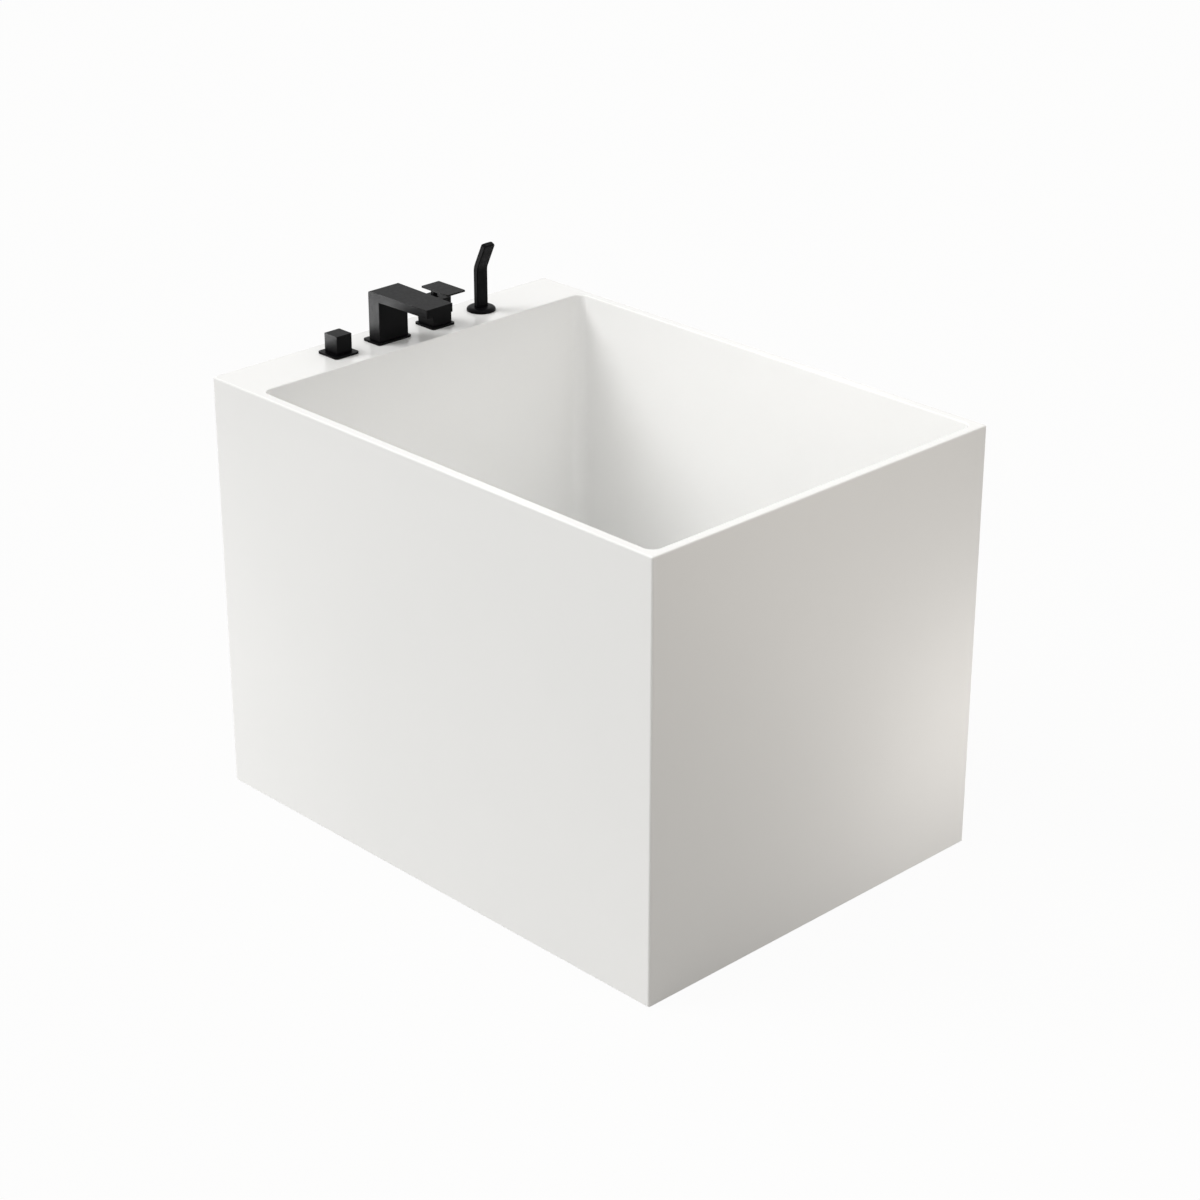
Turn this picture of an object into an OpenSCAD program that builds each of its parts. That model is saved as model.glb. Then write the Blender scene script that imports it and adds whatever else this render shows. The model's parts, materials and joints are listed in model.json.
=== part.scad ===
// Free-standing rectangular soaking bathtub with a deck-mounted tap set.
// Millimetres. Origin at the middle of the footprint, on the floor. +X points away from the
// tap deck along the tub's length, +Y across it, +Z up.

/* [Tub body] */
// Length of the tub over its outer faces
body_l = 1100; // [1050:10:1400]
// Width of the tub over its outer faces
body_w = 800; // [760:10:1000]
// Height of the rim above the floor
body_h = 805; // [760:5:900]
// Gap between the skirt and the floor
floor_gap = 2; // [1:0.5:6]
// Wall thickness of the outer skirt
apron_t = 5; // [4:0.5:6]
// Rounding of the outer upright edges
edge_r = 4; // [3.5:0.5:10]
// Rounding of the rim's outer top edge
rim_round = 3; // [1:0.5:3]
// Wall thickness of the inner shell
shell_t = 5; // [4:0.5:6]

/* [Basin] */
// Width of the tap deck at the tap end
deck_w = 120; // [110:5:150]
// Width of the rim on the other three sides
rim_w = 18; // [17:1:30]
// Rounding of the basin's mouth
mouth_round = 2.5; // [2:0.5:6]
// Upright corner radius of the basin at its mouth
mouth_corner_r = 18; // [12:1:40]
// Upright corner radius of the basin at its floor
floor_corner_r = 34; // [32:1:90]
// Rounding between the basin's walls and its floor
floor_round = 28; // [20:1:30]
// Height of the basin floor above the ground
floor_z = 150; // [150:5:170]
// Inward lean of three basin walls over the basin's depth
wall_draft = 14; // [8:1:24]
// Inward lean of the backrest end over the basin's depth
back_lean = 50; // [48:2:60]

/* [Boards and frame] */
// Thickness of the board under the basin floor
board_t = 15; // [12:1:18]
// Margin between the floor board and the flat of the basin floor
board_margin = 25; // [16:1:36]
// Radius of the floor board's cut-out round the drain
board_cutout_r = 64; // [62:1:70]
// Thickness of the board under the tap deck
deck_board_t = 15; // [12:1:18]
// Gap between the deck board and the skirt or the basin wall
deck_board_gap = 3; // [1:1:6]
// Outer size of the square frame tube
rail = 40; // [36:2:44]
// Wall thickness of the frame tube
rail_t = 2; // [1.5:0.5:4]
// Distance of the long rails' ends from the tub's outer end faces
rail_end_gap = 60; // [40:5:80]
// Distance of the first cross rail from the long rails' end at the taps
cross_first = 30; // [10:5:50]
// Gap between the last cross rail and the waste
cross_waste_gap = 73; // [40:5:120]
// Width of the brackets between frame and skirt
bracket_w = 40; // [30:2:60]
// Plate thickness of the brackets between frame and skirt
bracket_t = 4; // [3:0.5:6]
// Distance of the outer skirt brackets from the middle one
bracket_pitch = 280; // [200:10:320]
// Shaft radius of the bracket screws
screw_r = 2.5; // [2:0.5:3.5]

/* [Feet] */
// Distance of the feet from the ends of the long rails
foot_inset = 45; // [30:5:60]
// Radius of the foot's threaded stud
stud_r = 6; // [5:0.5:7]
// Radius of the foot pad
pad_r = 28; // [22:1:32]
// Height of the foot pad
pad_h = 12; // [10:1:16]
// Side of the foot's bracket plate
foot_plate = 60; // [50:2:70]
// Thickness of the foot's bracket plate
foot_plate_t = 6; // [4:1:10]
// Height of the foot's lock nut
lock_nut_h = 10; // [8:1:12]
// Thread left above the bracket plate for raising the tub
foot_travel = 25; // [20:1:28]

/* [Tap row] */
// Distance between neighbouring tap holes
tap_pitch = 115; // [100:1:130]
// Shift of the tap row along the deck from the tub's middle
tap_shift = 10.5; // [-20:0.5:20]
// Radius of the tap holes
tap_hole_r = 17.5; // [17.2:0.1:19]
// Radius of the threaded shanks below the deck
shank_r = 16.5; // [16.5:0.1:16.8]
// Length of the shanks below the deck's surface
shank_len = 60; // [52:1:80]
// Thickness of the cover plates
plate_t = 4; // [3:0.5:6]
// Corner radius of the cover plates
plate_corner_r = 5; // [2:0.5:8]
// Thickness of the washers below the deck board
washer_t = 3; // [2:0.5:5]
// Height of the back nuts
back_nut_h = 10; // [6:1:14]
// Width across flats of the back nuts
back_nut_af = 46; // [42:1:52]

/* [Diverter] */
// Side of the diverter's square cover plate
diverter_plate = 54; // [50:1:60]
// Side of the cube knob
knob = 34.5; // [30:0.5:36]
// Radius of the diverter's spindle
spindle_r = 6; // [4:0.5:7]

/* [Spout] */
// Depth of the spout's cover plate along the tub
spout_plate_d = 47; // [46:1:60]
// Width of the spout's cover plate across the tub
spout_plate_w = 78; // [76:1:90]
// Width of the spout at its back
spout_w = 69; // [60:1:74]
// Width of the spout at its tip
spout_tip_w = 61; // [54:1:70]
// Length of the spout from its back to its tip
spout_len = 157; // [130:1:200]
// Height of the spout's top above the deck
spout_h = 97; // [80:1:120]
// Thickness of the spout's arm
spout_arm = 16; // [14:1:20]
// Depth of the spout's column along the tub
spout_column = 28; // [24:1:32]
// Distance from the spout's back to its tap hole's axis
spout_back = 9; // [9:0.5:12]
// Width of the water outlet under the spout's tip
outlet_w = 44; // [36:1:46]

/* [Mixer] */
// Side of the mixer's square cover plate
mixer_plate = 54; // [50:1:60]
// Side of the mixer's square body
mixer_side = 44.5; // [42:0.5:48]
// Height of the mixer's body above the deck, without its closing plate
mixer_h = 50; // [48:1:60]
// Thickness of the closing plate on the mixer's body
mixer_cap_t = 4; // [3:0.5:5]
// Radius of the valve cartridge
cartridge_r = 17.2; // [15:0.1:18]
// Reach of the lever plate in front of the pivot
lever_front = 63; // [40:1:80]
// Reach of the lever plate behind the pivot
lever_back = 11; // [10:1:20]
// Width of the lever plate
lever_w = 43; // [30:1:50]
// Thickness of the lever plate
lever_t = 3; // [3:0.5:7]
// Height of the lever plate's top above the deck
lever_h = 76; // [74:1:90]
// Radius of the lever's pivot pin
pin_r = 2; // [1.5:0.25:2.5]

/* [Hand shower] */
// Radius of the base ring
ring_r = 27.5; // [24:0.5:32]
// Height of the base ring's dome
ring_h = 8; // [6:0.5:12]
// Thickness of the hand shower along the tub
bar_d = 11; // [10.5:0.5:13]
// Width of the hand shower across the tub
bar_w = 26.5; // [22:0.5:28]
// Height of the bend above the deck
bend_h = 84; // [70:1:110]
// Length of the tilted head above the bend
head_len = 56; // [46:1:80]
// Tilt of the head towards the basin
head_tilt = 25; // [10:1:35]
// Depth of the hand shower's seat below the deck
bar_seat = 30; // [24:1:36]

/* [Waste and overflow] */
// Distance of the drain from the tub's backrest end
drain_inset = 230; // [220:5:260]
// Radius of the waste flange in the basin
flange_r = 35; // [32:1:40]
// Outer radius of the waste's threaded tube
waste_r = 21; // [19:0.5:22]
// Radius of the plug
plug_r = 31; // [24:1:31]
// Lift of the plug between closed and open
plug_lift = 9; // [6:1:12]
// Outer radius of the trap's cup
trap_r = 44; // [40:1:50]
// Height of the trap's underside above the floor
trap_z = 12; // [8:1:16]
// Outer radius of the outlet pipe
outlet_r = 20; // [16:0.5:21]
// Length of the outlet pipe's level part, up to its elbow
outlet_len = 100; // [80:5:160]
// Height of the outlet pipe's open end above the floor
outlet_end_z = 4; // [2:1:8]
// Length of plain outlet pipe that stands out below its elbow
outlet_grip = 22; // [18:1:24]
// Distance of the overflow below the rim, along the wall
overflow_drop = 115; // [100:5:160]
// Radius of the overflow cover
overflow_r = 32; // [28:1:40]
// Outer radius of the round overflow pipe
overflow_pipe_r = 14.5; // [12:0.5:14.5]

/* [Supply and link pipes] */
// Radius of the half-inch male connections
tail_r = 10.48; // [8:0.01:11]
// Length of the half-inch male connections
tail_len = 18; // [12:1:30]
// Distance between the hot and the cold connection
tail_pitch = 36; // [30:1:40]
// Outer radius of the link pipes
link_r = 8; // [6:0.5:9]
// Height of the valve blocks under the shanks
block_h = 73; // [70:1:90]
// Depth of the valve blocks along the tub
block_d = 44; // [38:1:50]

/* [Hidden] */

// Clearances shared by every piece
running = 0.05;
slip = 0.3;
loose = 0.5;
fine = 64;

// Basin mouth and the flat of its floor
mouth_x0 = -body_l / 2 + deck_w;
mouth_x1 = body_l / 2 - rim_w;
mouth_y = body_w / 2 - rim_w;
basin_depth = body_h - floor_z;
flat_x0 = mouth_x0 + wall_draft + floor_round;
flat_x1 = mouth_x1 - back_lean - floor_round;
flat_y = mouth_y - wall_draft - floor_round;
corner_steps = 8;
round_steps = 4;
fillet_steps = 6;

// Boards, rails and feet
board_top = floor_z - shell_t;
rail_top = board_top - board_t;
rail_bottom = rail_top - rail;
rail_y = flat_y - board_margin - rail / 2;
rail_len = body_l - 2 * rail_end_gap;
cross_count = 3;
drain_x = body_l / 2 - drain_inset;
tee_r = waste_r + 6;
cross_x0 = cross_first + rail / 2 - rail_len / 2;
cross_x1 = drain_x - tee_r - cross_waste_gap - rail / 2;
cross_pitch = (cross_x1 - cross_x0) / (cross_count - 1);
foot_x = rail_len / 2 - foot_inset;
foot_plate_z = rail_bottom - foot_plate_t;
stud_top = rail_bottom + foot_travel;
pad_socket = 6;
lock_nut_af = 3.2 * stud_r;
skirt_y = body_w / 2 - apron_t;
rail_side = rail_y + rail / 2;
screw_z = rail_bottom + rail / 2;
screw_head_r = 2 * screw_r;
screw_hole_r = screw_r + 0.1;
screw_head_h = 4;

// Drain and trap
seal_t = 1.5;
flange_t = 3;
flange_z = floor_z + seal_t;
flange_top = flange_z + flange_t;
waste_wall = 3;
waste_hole_r = waste_r + 3;
under_seal_t = 3;
waste_nut_top = board_top - under_seal_t;
waste_nut_h = 10;
tee_top = waste_nut_top - waste_nut_h;
tee_bottom = 84;
tee_bore = waste_r + slip;
tee_port_reach = 60;
port_drop = 22;
pipe_z = tee_top - port_drop;
cartridge_click_r = 8;
cartridge_top = floor_z - 1;
cartridge_h = 21;
plug_stem_r = 3;
plug_rest = flange_top + slip;
plug_seal_t = 1.7;
plug_cap_h = 4;
trap_wall = 3;
trap_lid = 4;
collar_h = 4;
nut_lip = 4;
trap_top = tee_bottom - collar_h - nut_lip;
outlet_branch_r = outlet_r + 3;
outlet_z = trap_top - outlet_branch_r - 2;
dip_z = trap_z + trap_wall + 6;
dip_drop = 28;
dip_top = tee_top - dip_drop;
outlet_branch_len = 36;
elbow_r = outlet_r + 2.5;
elbow_reach = outlet_z - outlet_end_z - outlet_grip;

// Overflow on the leaning end wall
lean = atan(back_lean / basin_depth);
overflow_hole_r = 21;
overflow_tube_r = overflow_hole_r - 1;
overflow_bore_r = overflow_tube_r - 2;
rear_seal_t = 1.5;
body_depth = 11;
body_half_w = 29;
body_half_h = 30;
duct_t = 9;
duct_w = 44;
duct_wall = 1.5;
duct_x = shell_t + rear_seal_t + 1;
elbow_z = pipe_z;
elbow_half = 18;
elbow_d = 21;
duct_len = (body_h - elbow_z) / cos(lean);
elbow_x = mouth_x1 + (duct_x + duct_t / 2) * cos(lean) - duct_len * sin(lean);

// Tap row
tap_x = -body_l / 2 + deck_w / 2;
function tap_y(i) = tap_shift + (i - 1.5) * tap_pitch;
diverter_y = tap_y(0);
spout_y = tap_y(1);
mixer_y = tap_y(2);
handset_y = tap_y(3);
deck_z = body_h;
deck_under = deck_z - shell_t;
deck_board_z = deck_under - deck_board_t;
shank_z = deck_z - shank_len;
plate_top = deck_z + plate_t;
nut_clear = 0.1;

// Mixer levels, above the deck
pivot_z = deck_z + mixer_h + 0.5;
cap_top = deck_z + mixer_h + mixer_cap_t;
carrier_z = deck_z + mixer_h - 6;
ring_nut_h = 7.7;
ring_nut_z = carrier_z - slip - ring_nut_h;
carrier_r = cartridge_r - slip;
carrier_boss_r = cartridge_r - 5;
neck_d = 8;
neck_w = 10.4;
pin_len = 26;

// Hand shower
seat_z = deck_z - bar_seat;
hose_tail_r = bar_d / 2 - 0.1;
hose_tail_len = 22;
hose_socket_r = 4;
hose_socket_h = 14;
spray_margin = 3;
spray_z = 7;
spray_depth = 3.5;
nozzle_rows = 8;
nozzle_cols = 3;
nozzle_r = 0.8;

// Diverter disc
disc_h = 5;
disc_r = 2 * spindle_r;
disc_drop = 20;
disc_z = shank_z - disc_drop;
knob_bore = 18;

// Valve blocks and link pipes
block_z = shank_z - block_h;
mixer_block_w = tail_pitch + 20;
diverter_block_w = 44;
low_link_rise = 32;
high_link_drop = 14;
low_link_z = block_z + low_link_rise;
high_link_z = shank_z - high_link_drop;
link_nut_r = link_r + 5;
link_nut_h = 12;
spout_neck_r = 7;
spout_neck_h = 16;
spout_bore_r = 5.5;
spout_elbow_w = 34;
spout_elbow_h = 33;

// Rounded rectangle about the origin
module rounded(l, w, r) {
    square([l - 2 * r, w], center = true);
    square([l, w - 2 * r], center = true);
    for (sx = [-1, 1], sy = [-1, 1])
        translate([sx * (l / 2 - r), sy * (w / 2 - r)])
            circle(r = r, $fn = fine);
}

// Ring-shaped piece standing on z = 0
module tube(outer, inner, h) {
    difference() {
        cylinder(r = outer, h = h, $fn = fine);
        translate([0, 0, -1])
            cylinder(r = inner, h = h + 2, $fn = fine);
    }
}

// Hexagonal nut standing on z = 0
module hex_nut(af, bore, h) {
    difference() {
        cylinder(r = af / 2 / cos(30), h = h, $fn = 6);
        translate([0, 0, -1])
            cylinder(r = bore, h = h + 2, $fn = fine);
    }
}

// Box centred in x and y, standing on z = 0
module block(d, w, h) {
    translate([-d / 2, -w / 2, 0])
        cube([d, w, h]);
}

// One closed outline of a rounded rectangle at height z, counter-clockwise from above
function outline(x0, x1, y, r, z) = [
    for (k = [0:3], i = [0:corner_steps])
        let (a = 90 * (k + i / corner_steps),
            cx = (k == 0 || k == 3) ? x1 - r : x0 + r,
            cy = (k < 2) ? y - r : r - y)
        [cx + r * cos(a), cy + r * sin(a), z]];

// Outline of the basin wall at height z, moved outwards by o
function basin_outline(z, o, level) =
    let (t = (body_h - z) / basin_depth,
        r = mouth_corner_r + (floor_corner_r - mouth_corner_r) * t)
    outline(mouth_x0 + wall_draft * t - o, mouth_x1 - back_lean * t + o,
        mouth_y - wall_draft * t + o, r + o, level);

// Outline on the rounding between wall and floor, on the skin that lies t_out outside
function fillet_outline(a, t_out) =
    let (z = floor_z + floor_round * (1 - sin(a)))
    basin_outline(z, -floor_round * (1 - cos(a)) + t_out * cos(a), z - t_out * sin(a));

function rim_outline(inset, z) =
    outline(-body_l / 2 + inset, body_l / 2 - inset, body_w / 2 - inset, edge_r - inset, z);

// Outlines from the underside of the floor, out under the rim, over it and down to the floor
shell_rings = concat(
    [for (i = [0:fillet_steps]) fillet_outline(90 - 90 * i / fillet_steps, shell_t)],
    [basin_outline(deck_under, shell_t, deck_under)],
    [rim_outline(0, deck_under)],
    [for (i = [0:round_steps])
        let (a = 90 * i / round_steps)
        rim_outline(rim_round * (1 - cos(a)), body_h - rim_round * (1 - sin(a)))],
    [for (i = [0:round_steps])
        let (a = 90 * i / round_steps, z = body_h - mouth_round * (1 - cos(a)))
        basin_outline(z, mouth_round * (1 - sin(a)), z)],
    [for (i = [0:fillet_steps]) fillet_outline(90 * i / fillet_steps, 0)]);

// Closed solid through a list of outlines with equally many points
module loft(rings) {
    n = len(rings[0]);
    last = len(rings) - 1;
    points = [for (ring = rings) each ring];
    sides = [
        for (i = [0:last - 1], j = [0:n - 1])
            let (k = (j + 1) % n)
            each [[i * n + j, i * n + n + j, i * n + n + k], [i * n + j, i * n + n + k, i * n + k]]];
    start = [[for (j = [0:n - 1]) j]];
    end = [[for (j = [0:n - 1]) last * n + n - 1 - j]];
    polyhedron(points, concat(start, sides, end));
}

// Local frame of the leaning end wall: z runs up along its inner face, x points out of it
module end_wall() {
    translate([mouth_x1, 0, body_h])
        rotate([0, lean, 0])
            children();
}

// Local frame of the overflow: its axis is local z, pointing out of the basin
module overflow_axis() {
    end_wall()
        translate([0, 0, -overflow_drop])
            rotate([0, 90, 0])
                children();
}

module basin_shell() {
    color("white")
        difference() {
            loft(shell_rings);
            for (i = [0:3])
                translate([tap_x, tap_y(i), deck_under - 5])
                    cylinder(r = tap_hole_r, h = shell_t + 10, $fn = fine);
            translate([drain_x, 0, board_top - 5])
                cylinder(r = waste_hole_r, h = shell_t + 10, $fn = fine);
            overflow_axis()
                translate([0, 0, -5])
                    cylinder(r = overflow_hole_r, h = shell_t + 10, $fn = fine);
        }
}

module apron_skirt() {
    color("white")
        translate([0, 0, floor_gap])
            linear_extrude(deck_under - floor_gap)
                difference() {
                    rounded(body_l, body_w, edge_r);
                    square([body_l - 2 * apron_t, body_w - 2 * apron_t], center = true);
                }
}

module floor_board() {
    color("burlywood")
        difference() {
            translate([flat_x0 + board_margin, board_margin - flat_y, rail_top])
                cube([flat_x1 - flat_x0 - 2 * board_margin, 2 * (flat_y - board_margin), board_t]);
            translate([drain_x, 0, rail_top - 1])
                cylinder(r = board_cutout_r, h = board_t + 2, $fn = fine);
        }
}

module deck_board() {
    x0 = apron_t + deck_board_gap - body_l / 2;
    x1 = mouth_x0 - shell_t - deck_board_gap;
    y = skirt_y - deck_board_gap;
    color("burlywood")
        difference() {
            translate([x0, -y, deck_board_z])
                cube([x1 - x0, 2 * y, deck_board_t]);
            for (i = [0:3])
                translate([tap_x, tap_y(i), deck_board_z - 1])
                    cylinder(r = tap_hole_r, h = deck_board_t + 2, $fn = fine);
        }
}

function cross_x(i) = cross_x0 + i * cross_pitch;
function bracket_x(i) = i * bracket_pitch;

module frame_long_rails() {
    color("dimgray")
        for (s = [-1, 1])
            translate([0, s * rail_y, rail_bottom])
                difference() {
                    block(rail_len, rail, rail);
                    translate([0, 0, rail_t])
                        block(rail_len + 2, rail - 2 * rail_t, rail - 2 * rail_t);
                    for (e = [-1, 1])
                        translate([e * foot_x, 0, -1])
                            cylinder(r = stud_r + 2, h = rail_t + 2, $fn = fine);
                    for (i = [-1:1])
                        translate([bracket_x(i), s * (rail / 2 - rail_t / 2), rail / 2])
                            rotate([90, 0, 0])
                                cylinder(r = screw_hole_r, h = 2 * rail_t, center = true, $fn = fine);
                }
}

module frame_cross_rails() {
    span = 2 * (rail_y - rail / 2);
    color("dimgray")
        for (i = [0:cross_count - 1])
            translate([cross_x(i), 0, rail_bottom])
                difference() {
                    block(rail, span, rail);
                    translate([0, 0, rail_t])
                        block(rail - 2 * rail_t, span + 2, rail - 2 * rail_t);
                }
}

module at_feet() {
    for (sx = [-1, 1], sy = [-1, 1])
        translate([sx * foot_x, sy * rail_y, 0])
            children();
}

module foot_brackets() {
    color("dimgray")
        at_feet()
            translate([0, 0, foot_plate_z])
                difference() {
                    block(foot_plate, foot_plate, foot_plate_t);
                    translate([0, 0, -1])
                        cylinder(r = stud_r + running, h = foot_plate_t + 2, $fn = fine);
                }
}

module foot_lock_nuts() {
    color("silver")
        at_feet()
            translate([0, 0, foot_plate_z - lock_nut_h])
                hex_nut(lock_nut_af, stud_r + running, lock_nut_h);
}

// Foot number 1 to 4, counted from the tap end's near corner
module foot_stud(n) {
    color("silver")
        translate([(n < 3 ? -1 : 1) * foot_x, (n % 2 == 1 ? -1 : 1) * rail_y, pad_socket])
            cylinder(r = stud_r, h = stud_top - pad_socket, $fn = fine);
}

module foot_pad(n) {
    color("black")
        translate([(n < 3 ? -1 : 1) * foot_x, (n % 2 == 1 ? -1 : 1) * rail_y, 0])
            rotate_extrude($fn = fine)
                polygon([[0, 0], [pad_r, 0], [pad_r, 3], [stud_r + 5, pad_h], [stud_r + slip, pad_h],
                    [stud_r + slip, pad_socket], [0, pad_socket]]);
}

// Flat steel brackets that carry the skirt from the frame
module skirt_brackets() {
    span = skirt_y - rail_side;
    color("dimgray")
        for (s = [-1, 1], i = [-1:1])
            translate([bracket_x(i), 0, rail_bottom])
                mirror([0, s < 0 ? 1 : 0, 0])
                    difference() {
                        translate([-bracket_w / 2, rail_side, 0])
                            difference() {
                                cube([bracket_w, span, rail]);
                                translate([-1, bracket_t, bracket_t])
                                    cube([bracket_w + 2, span - 2 * bracket_t, rail]);
                            }
                        translate([0, rail_side + bracket_t / 2, rail / 2])
                            rotate([90, 0, 0])
                                cylinder(r = screw_hole_r, h = 2 * bracket_t, center = true, $fn = fine);
                    }
}

module bracket_screws() {
    color("silver")
        for (s = [-1, 1], i = [-1:1])
            translate([bracket_x(i), 0, screw_z])
                mirror([0, s < 0 ? 1 : 0, 0])
                    translate([0, rail_side + bracket_t, 0])
                        rotate([90, 0, 0]) {
                            cylinder(r = screw_r, h = bracket_t + 3 * rail_t, $fn = fine);
                            translate([0, 0, -screw_head_h])
                                cylinder(r = screw_head_r, h = screw_head_h, $fn = 6);
                        }
}

module at_drain(z) {
    translate([drain_x, 0, z])
        children();
}

// Flange, threaded tube and the spider that holds the click cartridge
module waste_flange() {
    tube_z = tee_top - 8;
    spider_z = waste_nut_top - 2;
    spider_h = 4;
    hub_r = cartridge_click_r + 4;
    color("black") {
        at_drain(flange_z)
            tube(flange_r, waste_r - waste_wall, flange_t);
        at_drain(tube_z)
            tube(waste_r, waste_r - waste_wall, flange_z - tube_z);
        at_drain(spider_z)
            difference() {
                union() {
                    cylinder(r = hub_r, h = spider_h, $fn = fine);
                    for (a = [0, 90])
                        rotate([0, 0, a])
                            block(2 * waste_r - waste_wall, 4, spider_h);
                }
                translate([0, 0, -1])
                    cylinder(r = cartridge_click_r + nut_clear, h = spider_h + 2, $fn = fine);
            }
    }
}

module waste_gaskets() {
    color("dimgray") {
        at_drain(floor_z)
            tube(flange_r - 1, waste_r + slip, seal_t);
        at_drain(waste_nut_top)
            tube(waste_r + 12, waste_r + slip, under_seal_t);
    }
}

module waste_back_nut() {
    color("gray")
        at_drain(waste_nut_top - waste_nut_h)
            hex_nut(2 * waste_r + 18, waste_r + slip, waste_nut_h);
}

module click_cartridge() {
    flange = 1.8;
    color("silver")
        at_drain(cartridge_top - cartridge_h)
            difference() {
                union() {
                    cylinder(r = cartridge_click_r, h = cartridge_h, $fn = fine);
                    translate([0, 0, waste_nut_top + 2 - cartridge_top + cartridge_h])
                        cylinder(r = cartridge_click_r + 2, h = flange, $fn = fine);
                }
                translate([0, 0, 2])
                    cylinder(r = plug_stem_r + running, h = cartridge_h, $fn = fine);
            }
}

module drain_plug() {
    stem_z = cartridge_top - cartridge_h + 3;
    cap_z = plug_rest + plug_seal_t;
    color("black")
        at_drain(0)
            rotate_extrude($fn = fine)
                polygon([[0, stem_z], [plug_stem_r, stem_z], [plug_stem_r, cap_z], [plug_r, cap_z],
                    [plug_r, cap_z + plug_cap_h - 2], [plug_r - 2, cap_z + plug_cap_h - 0.6],
                    [plug_r - 8, cap_z + plug_cap_h], [0, cap_z + plug_cap_h]]);
}

module plug_seal() {
    color("dimgray")
        at_drain(plug_rest)
            tube(plug_r - 2, plug_r - 7, plug_seal_t);
}

module waste_tee() {
    color("white")
        at_drain(0)
            difference() {
                union() {
                    translate([0, 0, tee_bottom])
                        cylinder(r = tee_r, h = tee_top - tee_bottom, $fn = fine);
                    translate([0, 0, pipe_z])
                        rotate([0, 90, 0])
                            cylinder(r = overflow_pipe_r + 3, h = tee_port_reach, $fn = fine);
                }
                translate([0, 0, tee_bottom - 1])
                    cylinder(r = tee_bore, h = tee_top - tee_bottom + 2, $fn = fine);
                translate([0, 0, pipe_z])
                    rotate([0, 90, 0])
                        cylinder(r = overflow_pipe_r + slip, h = tee_port_reach + 1, $fn = fine);
            }
}

// Nut on the tee whose inner lip holds the dip tube's collar up
module trap_union_nut() {
    h = 14;
    color("white")
        at_drain(trap_top)
            difference() {
                hex_nut(2 * tee_r + 16, waste_r + slip, h);
                translate([0, 0, nut_lip])
                    cylinder(r = tee_r + slip, h = h, $fn = fine);
            }
}

module trap_dip_tube() {
    color("white")
        at_drain(0)
            difference() {
                union() {
                    translate([0, 0, dip_z])
                        cylinder(r = waste_r, h = dip_top - dip_z, $fn = fine);
                    translate([0, 0, tee_bottom - collar_h])
                        cylinder(r = tee_r - 1, h = collar_h, $fn = fine);
                }
                translate([0, 0, dip_z - 1])
                    cylinder(r = waste_r - 2.5, h = dip_top - dip_z + 2, $fn = fine);
            }
}

module trap_cup() {
    inner_r = trap_r - trap_wall;
    color("white")
        at_drain(0)
            difference() {
                union() {
                    translate([0, 0, trap_z])
                        cylinder(r = trap_r, h = trap_top - trap_z, $fn = fine);
                    translate([0, 0, outlet_z])
                        rotate([0, -90, 0])
                            cylinder(r = outlet_branch_r, h = trap_r + outlet_branch_len, $fn = fine);
                }
                translate([0, 0, trap_z + trap_wall])
                    cylinder(r = inner_r, h = trap_top - trap_z - trap_wall - trap_lid, $fn = fine);
                translate([0, 0, trap_top - trap_lid - 1])
                    cylinder(r = waste_r + slip, h = trap_lid + 2, $fn = fine);
                translate([0, 0, outlet_z])
                    rotate([0, -90, 0])
                        cylinder(r = outlet_r + slip, h = trap_r + outlet_branch_len + 1, $fn = fine);
            }
}

module trap_outlet_nut() {
    color("white")
        at_drain(outlet_z)
            translate([-trap_r - outlet_branch_len + 14, 0, 0])
                rotate([0, -90, 0])
                    difference() {
                        cylinder(r = outlet_branch_r + 5, h = 19, $fn = fine);
                        translate([0, 0, -1])
                            cylinder(r = outlet_branch_r + slip, h = 15, $fn = fine);
                        cylinder(r = outlet_r + slip, h = 20, $fn = fine);
                    }
}

// Round bar or bore of the outlet pipe: a level part, a turn and a part down to the floor
module outlet_run(r, start, end_z) {
    translate([-outlet_len, 0, 0])
        sphere(r = r, $fn = fine);
    translate([-outlet_len, 0, end_z - outlet_z])
        cylinder(r = r, h = outlet_z - end_z, $fn = fine);
    translate([start, 0, 0])
        rotate([0, -90, 0])
            cylinder(r = r, h = outlet_len + start, $fn = fine);
}

// Thicker elbow round the turn, with a socket on each of its two ends
module outlet_elbow() {
    translate([-outlet_len, 0, 0]) {
        sphere(r = elbow_r, $fn = fine);
        translate([0, 0, -elbow_reach])
            cylinder(r = elbow_r, h = elbow_reach, $fn = fine);
        rotate([0, 90, 0])
            cylinder(r = elbow_r, h = elbow_reach, $fn = fine);
    }
}

module outlet_pipe() {
    color("white")
        at_drain(outlet_z)
            translate([-trap_r - 8, 0, 0])
                difference() {
                    union() {
                        outlet_run(outlet_r, 0, outlet_end_z);
                        outlet_elbow();
                    }
                    outlet_run(outlet_r - 2, 1, outlet_end_z - 1);
                }
}

module overflow_cover() {
    front = 6;
    cap_t = 3;
    color("black")
        overflow_axis()
            translate([0, 0, -seal_t]) {
                translate([0, 0, -front - cap_t])
                    cylinder(r = overflow_r, h = cap_t, $fn = fine);
                translate([0, 0, -2])
                    tube(overflow_r - 3, overflow_tube_r + slip, 2);
                for (a = [0:90:270])
                    rotate([0, 0, a + 45])
                        translate([overflow_r - 6, 0, -front])
                            cylinder(r = 2, h = front, $fn = fine);
            }
}

module overflow_gaskets() {
    color("dimgray")
        overflow_axis() {
            translate([0, 0, -seal_t])
                tube(overflow_r - 4, overflow_hole_r + slip, seal_t);
            translate([0, 0, shell_t])
                tube(body_half_w - 1, overflow_hole_r + slip, rear_seal_t);
        }
}

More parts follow.
